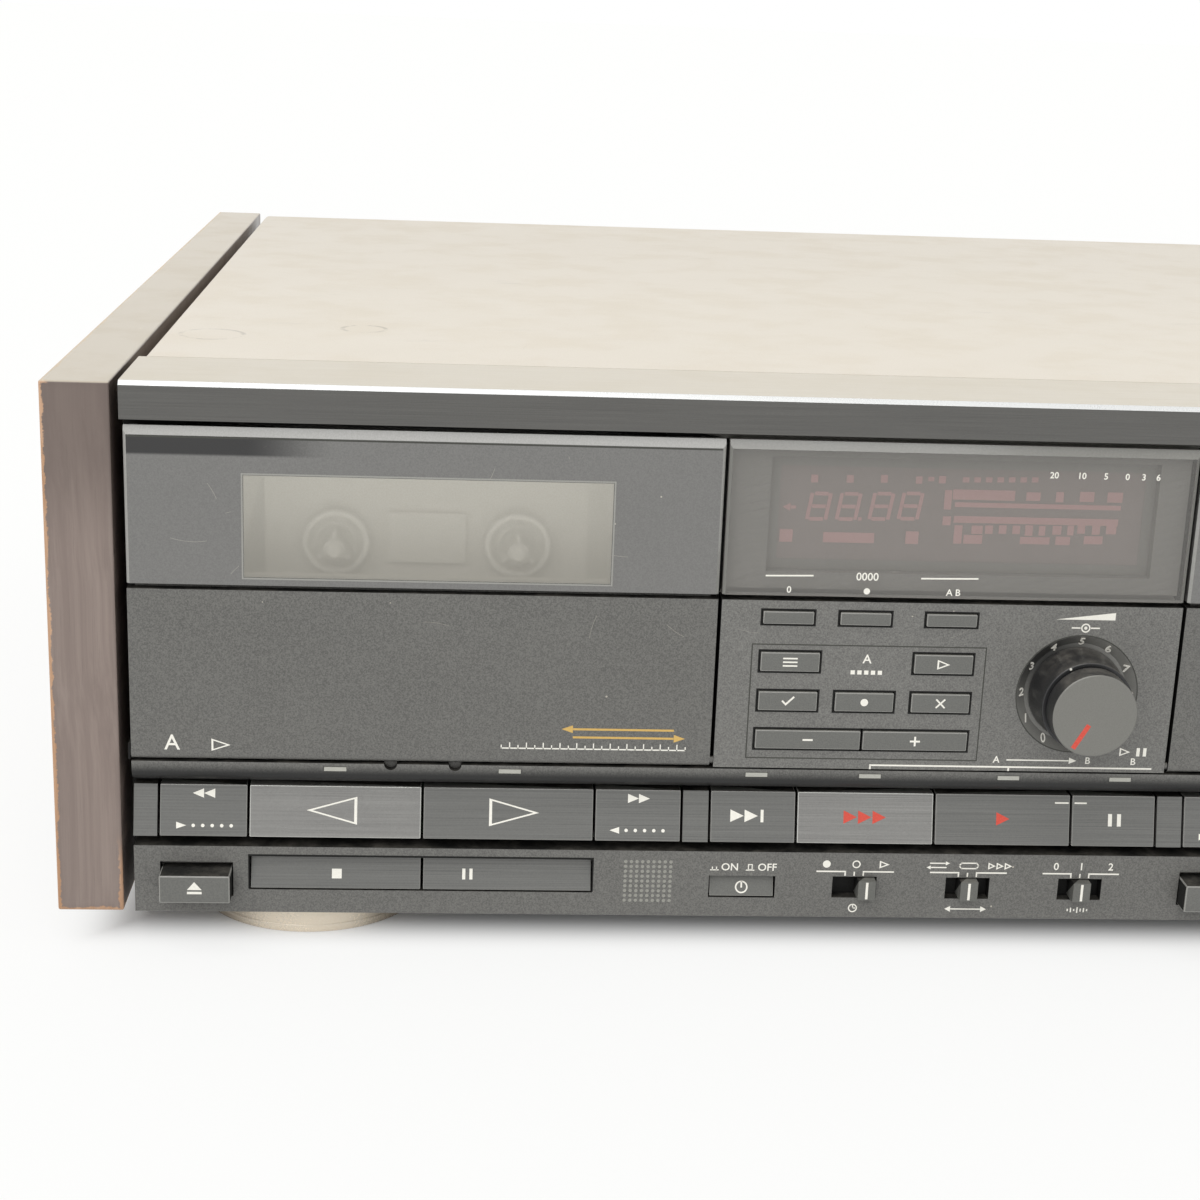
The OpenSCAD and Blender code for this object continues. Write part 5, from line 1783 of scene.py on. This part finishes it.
@dataclass
class LowerBand(KeyGroup):
    """Stop, pause and eject keys, power key and slide switches of the lower band."""

    shift: float = 244.3
    lean: float = 14.7
    key_face: float = 0.1
    slide_front: float = 0.6
    pair_depth: float = 2.6
    thin: float = 0.26
    stroke: float = 0.3
    thick: float = 0.36
    switch_v: float = 12.0
    bracket_v: float = 11.9
    sign_v: float = 13.8
    lower_v: float = 2.4
    slides: Tuple[Tuple[str, float], ...] = (
        ("slide_timer", 171.7), ("slide_direction", 199.25), ("slide_noise", 226.8),
    )

    def dress(self) -> None:
        """Gives the keys and switches their finishes."""
        brushed = (Skin.key, Skin.key_edge, Skin.inner)
        smooth = (Skin.small_key, Skin.small_edge, Skin.inner)
        for deck in "ab":
            for name in ("stop", "pause"):
                CadPiece(f"{deck}_{name}").wear(*brushed, rule=self.slot).soften(0.2, 2, 1)
            CadPiece(f"{deck}_eject").wear(*smooth, Skin.key_top, rule=self.eject_slot).soften(0.3, 2, 1)
        CadPiece("power_key").wear(*smooth, rule=self.slot).soften(0.2, 2, 1)
        for node, _ in self.slides:
            CadPiece(node).wear(Skin.slide, Skin.inner, rule=self.slide_slot).crisp()

    def slide_slot(self, place: Vector, normal: Vector) -> int:
        """Grey knob, dark slider behind the skin."""
        return int(place.y > self.slide_front)

    def eject_slot(self, place: Vector, normal: Vector) -> int:
        """Dull dark top, smooth front, dark behind the skin."""
        return 2 if place.y > COLS.behind else 3 if abs(normal.y) < 0.5 else 0

    def build(self) -> None:
        """Prints the marks of the band and of its keys, and paints shade in the gaps round the stop and pause
        keys.
        """
        # Dark bars of painted shade along the gaps of the keys.
        gap_shade = Stencil(Face(), 0.015)
        for deck, s in (("a", 0.0), ("b", self.shift)):
            self.deck_marks(deck, s)
            self.pair_gap_shade(gap_shade, deck)
        gap_shade.print("band_gap_shade", TALL_BODY, Skin.inner)
        self.power_marks()
        self.slide_marks()

    def pair_gap_shade(self, gap_shade: Stencil, deck: str) -> None:
        """Paints shade as dark bars on the face above and beside the stop and pause keys of one deck.

        Args:
            gap_shade: Stencil of the painted shade.
            deck: Letter of the deck.
        """
        left, _, low, high = front_box(f"{deck}_stop", self.pair_depth)
        right = front_box(f"{deck}_pause", self.pair_depth)[1]
        gap_shade.bar((left + right) / 2, high + 0.4, right - left + 1.0, 0.5)
        for u in (left - 0.35, right + 0.35):
            gap_shade.bar(u, (low + high) / 2, 0.3, high - low + 0.25)

    def deck_marks(self, deck: str, s: float) -> None:
        """Prints the stop, pause and eject marks of one deck.

        Args:
            deck: Letter of the deck.
            s: Its distance from the left deck.
        """
        face = Face(d=self.key_face, v=6.1, lean=self.lean)
        Stencil(face).bar(48.0 + s, 3.6, 2.3, 2.3).print(f"{deck}_stop_mark", f"{deck}_stop", Skin.cream)
        pause = Stencil(face).bar(78.0 + s, 3.8, 0.75, 2.6).bar(79.7 + s, 3.8, 0.75, 2.6)
        pause.print(f"{deck}_pause_mark", f"{deck}_pause", Skin.cream)
        eject = Stencil(Face(u=15.3 + s, d=-5.0, v=7.7))
        eject.shape([(-1.7, 0.0), (1.7, 0.0), (0.0, 2.0)]).bar(0.0, -0.75, 3.4, 0.6)
        eject.print(f"{deck}_eject_mark", f"{deck}_eject", Skin.cream)

    def power_marks(self) -> None:
        """Prints the two positions above the power key and the line-in-ring mark on it."""
        marks = Stencil(Face())
        marks.words("ON", 141.4, 12.7, 1.9).words("OFF", 150.4, 12.7, 1.9)
        v = self.switch_v
        marks.line((136.8, v), (138.6, v), self.thin)
        for u in (137.2, 138.2):
            marks.line((u, v + 0.1), (u, v + 0.7), self.thin)
        marks.line((145.4, v), (147.2, v), self.thin).frame(146.3, v + 0.8, 0.9, 1.3, 0.24)
        marks.print("power_positions", TALL_BODY, Skin.cream)
        sign = Stencil(Face(u=144.5, d=self.key_face, v=5.2, lean=self.lean))
        sign.ring(0.0, 2.2, 1.35, self.thick).bar(0.0, 2.9, 0.4, 1.7)
        sign.print("power_key_mark", "power_key", Skin.cream)

    def slide_marks(self) -> None:
        """Prints brackets, figures and simple signs round the slide switches, and a line on each knob."""
        marks, v = Stencil(Face()), self.bracket_v
        for node, u in self.slides:
            for end, turn in ((u - 9.2, u - 2.4), (u + 9.2, u + 2.0)):
                marks.line((end, v), (turn, v), self.thick).line((turn, v - 0.9), (turn, v - 0.4), self.thick)
            marks.line((u - 0.2, v - 0.9), (u - 0.2, v - 0.2), self.thick)
            left, right, _, _ = front_box(node, -1.0)
            knob = Stencil(Face(u=(left + right) / 2, d=-2.2, v=7.85)).bar(0.0, 0.0, 0.6, 4.3)
            knob.print(f"{node}_line", node, Skin.cream)
        self.slide_signs(marks)
        marks.print("slide_marks", TALL_BODY, Skin.cream)

    def slide_signs(self, marks: Stencil) -> None:
        """Draws record, off and play, one way, both ways and in turn, and the figures 0 to 2.

        Args:
            marks: Stencil of the switches' marks.
        """
        (_, timer), (_, way), (_, noise) = self.slides
        high, low, line = self.sign_v, self.lower_v, self.stroke
        marks.disc(timer - 7.0, high, 0.95).ring(timer + 0.2, high, 0.85, line)
        marks.open_arrow(timer + 7.0, high, 2.4, 2.0, 0.28)
        marks.ring(timer, low, 0.95, line)
        for tip in ((timer, low + 0.6), (timer + 0.5, low)):
            marks.line((timer, low), tip, self.thin)
        high -= 0.1
        marks.line((way - 9.4, high + 0.6), (way - 5.9, high + 0.6), line)
        marks.line((way - 9.1, high - 0.5), (way - 5.6, high - 0.5), line)
        marks.arrow(way - 5.2, high + 0.6, 1.0, 1.0).arrow(way - 9.8, high - 0.5, -1.0, 1.0)
        for v in (high + 0.7, high - 0.7):
            marks.line((way - 1.8, v), (way + 1.8, v), line)
        for side in (-1, 1):
            tip = (way + side * 2.4, high)
            marks.line((way + side * 1.9, high + 0.6), tip, line)
            marks.line(tip, (way + side * 1.9, high - 0.6), line)
        for k in range(3):
            marks.open_arrow(way + 5.6 + 2.0 * k, high, 1.8, 1.8, 0.24)
        marks.line((way - 3.5, low), (way + 3.5, low), line)
        marks.arrow(way - 4.4, low, -1.4, 1.5).arrow(way + 4.4, low, 1.4, 1.5)
        for figure, u in (("0", noise - 6.2), ("1", noise), ("2", noise + 7.2)):
            marks.words(figure, u, high, 1.9)
        for k, height in enumerate((0.6, 1.2, 0.5, 1.5, 0.8, 1.1, 0.5)):
            marks.bar(noise - 2.4 + 0.8 * k, low, line, height)


class KeySign(Enum):
    """Signs on the small keys."""

    LINES = "lines"
    ARROW = "arrow"
    TICK = "tick"
    DOT = "dot"
    CROSS = "cross"
    MINUS = "minus"
    PLUS = "plus"


@dataclass
class ControlField(KeyGroup):
    """Small keys of the centre column with their marks and the engraved line round them."""

    rows: Mapping[str, Tuple[float, float, KeySign]] = field(default_factory=lambda: {
        "prog_display": (152.6, 64.6, KeySign.LINES),
        "prog_start": (188.7, 64.6, KeySign.ARROW),
        "prog_check": (152.6, 55.0, KeySign.TICK),
        "prog_set": (170.65, 55.0, KeySign.DOT),
        "prog_clear": (188.7, 55.0, KeySign.CROSS),
        "prog_minus": (157.9, 45.5, KeySign.MINUS),
        "prog_plus": (183.4, 45.5, KeySign.PLUS),
    })
    counters: Tuple[str, ...] = ("counter_reset", "counter_memory", "counter_select")
    proud: float = 0.6
    line_box: Box = (171.1, 54.7, 55.0, 28.0)
    gap: float = 0.75
    gap_line: float = 0.38

    def dress(self) -> None:
        """Gives the small keys their finish, with painted highlight along the edges."""
        slots = (Skin.small_key, Skin.small_edge, Skin.inner)
        for node in (*self.rows, *self.counters):
            CadPiece(node).wear(*slots, rule=self.slot).soften(0.22, 2, 1)

    def build(self) -> None:
        """Prints a sign on each key, engraves the frame and paints shade in the gaps round the keys."""
        for node, (u, v, kind) in self.rows.items():
            sign = Stencil(Face(u=u, d=-self.proud, v=v))
            self.sign(sign, kind)
            sign.print(f"{node}_mark", node, Skin.cream)
        frame_line = Stencil(Face(), 0.02).frame(*self.line_box, 0.3)
        frame_line.print("field_line", TALL_BODY, Skin.groove)
        # Dark frames of painted shade round the keys' gaps.
        gap_shade = Stencil(Face(), 0.015)
        for node in (*self.rows, *self.counters):
            gap_shade.outline(front_box(node, 0.0), self.gap, self.gap_line)
        gap_shade.print("field_gap_shade", TALL_BODY, Skin.inner)
        head = Stencil(Face()).words("A", 170.7, 65.4, 2.2)
        for k in range(5):
            head.bar(167.5 + 1.6 * k, 62.2, 1.0, 1.0)
        head.print("field_heading", TALL_BODY, Skin.cream)

    @staticmethod
    def sign(sign: Stencil, kind: KeySign) -> None:
        """Draws the sign of one key.

        Args:
            sign: Stencil on the key.
            kind: Which sign.
        """
        if kind is KeySign.LINES:
            for y in (-0.9, 0.0, 0.9):
                sign.bar(0.0, y, 3.4, 0.36)
        elif kind is KeySign.ARROW:
            sign.open_arrow(0.0, 0.0, 3.0, 2.4, 0.3)
        elif kind is KeySign.TICK:
            sign.shape([(-1.5, 0.0), (-1.2, 0.3), (-0.45, -0.45), (1.3, 1.3), (1.6, 1.0), (-0.45, -1.05)])
        elif kind is KeySign.DOT:
            sign.disc(0.0, 0.0, 0.9)
        elif kind is KeySign.CROSS:
            sign.cross(0.0, 0.0, 3.0, 0.38, 45.0)
        elif kind is KeySign.PLUS:
            sign.cross(0.0, 0.0, 2.4, 0.45)
        else:
            sign.bar(0.0, 0.0, 2.4, 0.45)


@dataclass
class LevelControl(Assembly):
    """Double level knob, its dial with figures, and the bracket line below it."""

    u: float = 221.1
    v: float = 57.7
    figures_r: float = 13.0
    first: float = 238.6
    step: float = -29.9
    figures: int = 11
    line_r: float = 14.45
    knob_front: float = 15.5
    sides_from: float = -12.0
    dot: Triple = (118.0, 10.35, 9.2)
    pointer: Tuple[Point, Point] = ((219.6, 55.0), (216.95, 50.3))
    pointer_w: float = 1.15
    sign: Point = (221.6, 74.0)
    wedge: Tuple[Point, ...] = ((214.4, 76.0), (228.4, 76.0), (228.4, 77.8))
    bracket: Triple = (173.3, 206.5, 240.9)
    bracket_v: float = 39.2
    copy_v: float = 41.0
    play_v: float = 43.4

    def dress(self) -> None:
        """Gives knob and ring satin faces and glossy sides."""
        CadPiece("level_knob").wear(Skin.knob_side, Skin.knob_face, rule=self.slot).soften(0.45, 3)
        CadPiece("level_ring").wear(Skin.knob_side, Skin.knob_face, rule=self.slot).soften(0.3, 2)

    def slot(self, place: Vector, normal: Vector) -> int:
        """Satin on the faces that look forward, gloss on the sides."""
        return int(normal.y < -0.8 and place.y < self.sides_from)

    def build(self) -> None:
        """Prints the dial, the signs round it and the pointers."""
        dial = Stencil(DishFace(u=self.u, v=self.v - 0.25), 0.24, 0.1)
        for k in range(self.figures):
            turn = math.radians(self.first + k * self.step)
            dial.words(str(k), self.figures_r * math.cos(turn), self.figures_r * math.sin(turn), 2.0)
        dial.print("dial_figures", TALL_BODY, Skin.cream)
        line = Stencil(Face(), 0.015).ring(self.u, self.v, self.line_r, 0.3, 72)
        line.print("dial_line", TALL_BODY, Skin.groove)
        self.level_signs()
        pointer = Stencil(Face(d=-self.knob_front), 0.01).line(*self.pointer, self.pointer_w)
        pointer.print("knob_pointer", "level_knob", Skin.red)
        angle, radius, front = self.dot
        turn = math.radians(angle)
        dot = Stencil(Face(d=-front), 0.05)
        dot.disc(self.u + radius * math.cos(turn), self.v + radius * math.sin(turn), 0.3, 12)
        dot.print("ring_dot", "level_ring", Skin.cream)

    def level_signs(self) -> None:
        """Prints the level sign above the dial, and the bracket and the copying sign below it."""
        sign, (u, v) = Stencil(Face()), self.sign
        sign.ring(u, v, 0.95, 0.32).disc(u, v, 0.4, 12)
        sign.line((u - 3.2, v), (u - 1.4, v), 0.32).line((u + 1.4, v), (u + 3.2, v), 0.32)
        sign.shape(self.wedge)
        (start, tap, end), v = self.bracket, self.bracket_v
        sign.line((start, v), (end, v), 0.4)
        for u in (tap, start):
            sign.line((u, v - 0.8), (u, v - 0.35), 0.4)
        v = self.copy_v
        sign.words("A", 203.4, v, 1.7).line((206.0, v), (220.7, v), 0.3).arrow(221.8, v, 1.8, 1.6)
        sign.words("B", 225.4, v, 1.7).words("B", 236.4, v - 0.1, 1.7)
        for u in (237.4, 239.0):
            sign.bar(u, self.play_v, 0.8, 2.1)
        sign.open_arrow(234.2, self.play_v, 2.6, 2.1, 0.28)
        sign.print("level_signs", TALL_BODY, Skin.cream)


# Inside


@dataclass
class Mechanism(Assembly):
    """Tape drives: plates, heads, motors and belts, reel tables and capstans."""

    heads_back: float = 18.2
    belt: Point = (31.5, 37.5)
    motor: float = 45.4
    table_front: float = 16.6
    table_r: float = 7.9
    hub_r: float = 4.6
    hub_v: float = 86.6
    hub_pitch: float = 42.5
    strip_v: Point = (113.65, 124.6)
    strip_in: float = 2.7
    strip_thick: float = 0.8
    strip_back: float = 21.4

    def dress(self) -> None:
        """Gives every part of the drives its finish."""
        slots = (Skin.mechanism, Skin.head, Skin.belt, Skin.motor)
        CadPiece("mechanisms").wear(*slots, rule=self.slot).crisp()
        for deck in "ab":
            for side in ("left", "right"):
                reel = CadPiece(f"reel_{deck}_{side}")
                reel.wear(Skin.spindle, Skin.table, rule=self.reel_slot).soften(0.2)
                CadPiece(f"capstan_{deck}_{side}").wear(Skin.flywheel).soften(0.2)

    def build(self) -> None:
        """Adds a rounded rim and a hub ring to every reel table, and the dark sheets of painted shade above
        the plates.
        """
        for deck, shift in (("a", COLS.deck_a), ("b", COLS.deck_b)):
            self.shade_sheet(deck, shift)
            for side, way in (("left", -1), ("right", 1)):
                u = shift + COLS.door_w / 2 + way * self.hub_pitch / 2
                self.reel_ring(f"reel_{deck}_{side}", "rim", u, self.table_r - 0.85, 0.8, Skin.reel)
                self.reel_ring(f"reel_{deck}_{side}", "hub", u, self.hub_r, 0.5, Skin.spindle)

    def shade_sheet(self, deck: str, left: float) -> None:
        """Stands a dark sheet of painted shade on the top edge of one drive's plate, up to the bar above it.

        Args:
            deck: Letter of the deck.
            left: Left edge of its door.
        """
        low, high = self.strip_v
        strip = Stencil(Face(d=self.strip_back), self.strip_thick, 0.0)
        strip.bar(left + COLS.door_w / 2, (low + high) / 2, COLS.door_w - 2 * self.strip_in, high - low)
        strip.print(f"well_shade_sheet_{deck}", TALL_BODY, Skin.inner, "black_plastic")

    def reel_ring(
        self, body: str, part: str, u: float, radius: float, half: float, finish: Finish
    ) -> None:
        """Adds one rounded ring on a reel table.

        Args:
            body: Body of the reel.
            part: Last part of the ring's name.
            u: Middle of the reel across the front.
            radius: Middle radius of the ring.
            half: Half of the ring's width, which is also its height.
            finish: What it wears.
        """
        turns = [math.pi * k / 8 for k in range(9)]
        profile = [(radius + half * math.cos(t), -half * math.sin(t)) for t in turns]
        profile += [(radius - half, 0.06), (radius + half, 0.06)]
        name = f"{body}_{part}"
        mesh = Builder.lathe(name, Vector((u, self.table_front, self.hub_v)), profile, 56)
        Builder.piece(name, mesh, body, "reel", finish)

    def slot(self, place: Vector, normal: Vector) -> int:
        """Heads before the plate, belts and motors behind it."""
        behind = 2 if self.belt[0] < place.y < self.belt[1] else 3 if place.y > self.motor else 0
        return 1 if place.y < self.heads_back else behind

    def reel_slot(self, place: Vector, normal: Vector) -> int:
        """Pale spindle and edge on a darker table."""
        return int(self.table_front - 0.1 < place.y < self.table_front + 0.1)


@dataclass
class Electronics(Assembly):
    """Main board with its parts, and the mains transformer."""

    board_top: float = 9.6
    sink_u: Point = (229.5, 237.0)
    sink_front: float = 215.0
    cans_back: float = 170.0
    core_d: Point = (221.9, 274.1)

    def dress(self) -> None:
        """Gives board, parts, core and winding their finishes."""
        slots = (Skin.board, Skin.can, Skin.chip, Skin.sink)
        CadPiece("main_board").wear(*slots, rule=self.board_slot).soften(0.15)
        CadPiece("transformer").wear(Skin.core, Skin.coil, rule=self.core_slot).soften(0.3)

    def board_slot(self, place: Vector, normal: Vector) -> int:
        """Sleeved cans in front, chips behind them, the bright sink at the right."""
        sink = self.sink_u[0] < place.x < self.sink_u[1] and place.y > self.sink_front
        return 0 if place.z < self.board_top + 0.05 else 3 if sink else 1 if place.y < self.cans_back else 2

    def core_slot(self, place: Vector, normal: Vector) -> int:
        """Winding at both ends of the core."""
        return int(not self.core_d[0] <= place.y <= self.core_d[1])


# Studio


@dataclass
class Studio:
    """White floor, soft light and the camera of the photograph."""

    image: float = 1200.0
    focal: float = 2103.78
    sensor: float = 36.0
    eye: Triple = (75.96, -461.26, 214.09)
    down: float = 16.332
    yaw: float = 3.957
    roll: float = 2.196
    white: Colour = (1.0, 1.0, 0.97, 1.0)
    glow: Colour = (1.0, 1.0, 0.99, 1.0)
    paper: Colour = (0.95, 0.96, 0.97, 1.0)
    glow_share: float = 0.76
    glow_under: float = 0.05
    footprint: Triple = (232.0, 173.0, 7.75)
    ambient: float = 0.6
    half: float = 12.0
    light_from: Triple = (-0.5, -0.9, 1.3)
    light_strength: float = 1.75
    light_spread: float = 65.0

    def build(self) -> None:
        """Sets up camera, floor, world and lamps."""
        bpy.context.scene.view_settings.view_transform = "Standard"
        self.build_camera()
        self.build_floor()
        self.build_world()
        self.lamp("key_light", self.light_from, self.light_strength, self.light_spread)

    def build_camera(self) -> None:
        """Places the camera where the photograph was taken."""
        tilt, yaw, roll = (math.radians(a) for a in (self.down, self.yaw, self.roll))
        ahead = Vector((math.sin(yaw) * math.cos(tilt), math.cos(yaw) * math.cos(tilt), -math.sin(tilt)))
        right = Vector((math.cos(yaw), -math.sin(yaw), 0.0))
        up = right.cross(ahead)
        side = right * math.cos(roll) + up * math.sin(roll)
        top = up * math.cos(roll) - right * math.sin(roll)
        data = bpy.data.cameras.new("camera")
        data.sensor_width = self.sensor
        data.lens = self.focal / self.image * self.sensor
        data.clip_start = 0.01
        camera = bpy.data.objects.new("camera", data)
        turn = Matrix((side, top, -ahead)).transposed().to_4x4()
        camera.matrix_world = Matrix.Translation(FRONT.at(*self.eye)) @ turn
        bpy.context.scene.collection.objects.link(camera)
        bpy.context.scene.camera = camera

    def build_floor(self) -> None:
        """Lays a wide pale floor that keeps the deck's shadow and is white to the camera."""
        corners = Stencil.rectangle(0.0, 0.0, self.half, self.half)
        mesh = Builder.mesh("floor", [Vector((x, y, 0.0)) for x, y in corners], [[0, 1, 2, 3]])
        floor = bpy.data.objects.new("floor", mesh)
        bpy.context.scene.collection.objects.link(floor)
        made = bpy.data.materials.new("floor_white")
        made.use_nodes = True
        n = Nodes(made.node_tree)
        shader = made.node_tree.nodes["Principled BSDF"]
        shader.inputs["Roughness"].default_value = 0.9
        shader.inputs["Specular IOR Level"].default_value = 0.1
        shader.inputs["Base Color"].default_value = self.paper
        glow = n.add("Emission", {"Color": self.glow, "Strength": 1.0})
        share = n.times(self.seen(n), self.glow_amount(n))
        mixed = n.add("MixShader", {0: share, 1: shader.outputs[0], 2: glow.outputs[0]})
        n.feed(made.node_tree.nodes["Material Output"].inputs["Surface"], mixed.outputs[0])
        mesh.materials.append(made)

    def glow_amount(self, n: Nodes) -> Socket:
        """Less under the deck, where the floor keeps a deep shadow.

        Args:
            n: Helper for the floor's tree.

        Returns:
            Share of the glow.
        """
        wide, deep, middle = self.footprint
        across, along, _ = n.split(n.place())
        side = n.minus(wide, n.math("ABSOLUTE", across))
        end = n.minus(deep, n.math("ABSOLUTE", n.minus(along, middle)))
        return n.ramp(n.math("MINIMUM", side, end), 2.0, 20.0, self.glow_share, self.glow_under)

    @staticmethod
    def seen(n: Nodes) -> Socket:
        """One for rays from the camera, from gloss and through glass."""
        ray = n.add("LightPath").outputs
        return n.plus(n.plus(ray["Is Camera Ray"], ray["Is Glossy Ray"]), ray["Is Transmission Ray"], True)

    def build_world(self) -> None:
        """Makes the surroundings white to the camera and a soft even light otherwise."""
        world = bpy.data.worlds.new("studio")
        world.use_nodes = True
        n = Nodes(world.node_tree)
        back = world.node_tree.nodes["Background"]
        seen = self.seen(n)
        n.feed(back.inputs["Color"], n.blend(seen, self.white, (1.0, 1.0, 1.0, 1.0)))
        strength = n.add("MapRange", {"Value": seen, "To Min": self.ambient, "To Max": 1.0}).outputs[0]
        n.feed(back.inputs["Strength"], strength)
        bpy.context.scene.world = world

    @staticmethod
    def lamp(name: str, towards: Sequence[float], strength: float, spread: float) -> None:
        """Adds an even soft light from one side.

        Args:
            name: Name of the lamp.
            towards: Direction from the deck to the light.
            strength: Its strength on a facing surface.
            spread: Its width in degrees.
        """
        data = bpy.data.lights.new(name, "SUN")
        data.energy = strength
        data.angle = math.radians(spread)
        lamp = bpy.data.objects.new(name, data)
        lamp.location = towards
        lamp.rotation_euler = Vector(towards).to_track_quat("Z", "Y").to_euler()
        bpy.context.scene.collection.objects.link(lamp)


def main() -> None:
    """Builds the deck's looks in order."""
    logging.basicConfig(level=logging.INFO, format="%(name)s: %(message)s")
    Studio().build()
    assemblies: List[Assembly] = [
        Electronics(), Mechanism(), Casing(), RearPrint(), Fascia(),
        CassetteDoor("a", COLS.deck_a, "A"), CassetteDoor("b", COLS.deck_b, "B"),
        DisplayUnit(), TransportRow(), LowerBand(), ControlField(), LevelControl(),
    ]
    for assembly in assemblies:
        assembly.dress()
        assembly.build()
        LOG.info("%s done", type(assembly).__name__)


if __name__ == "__main__":
    main()
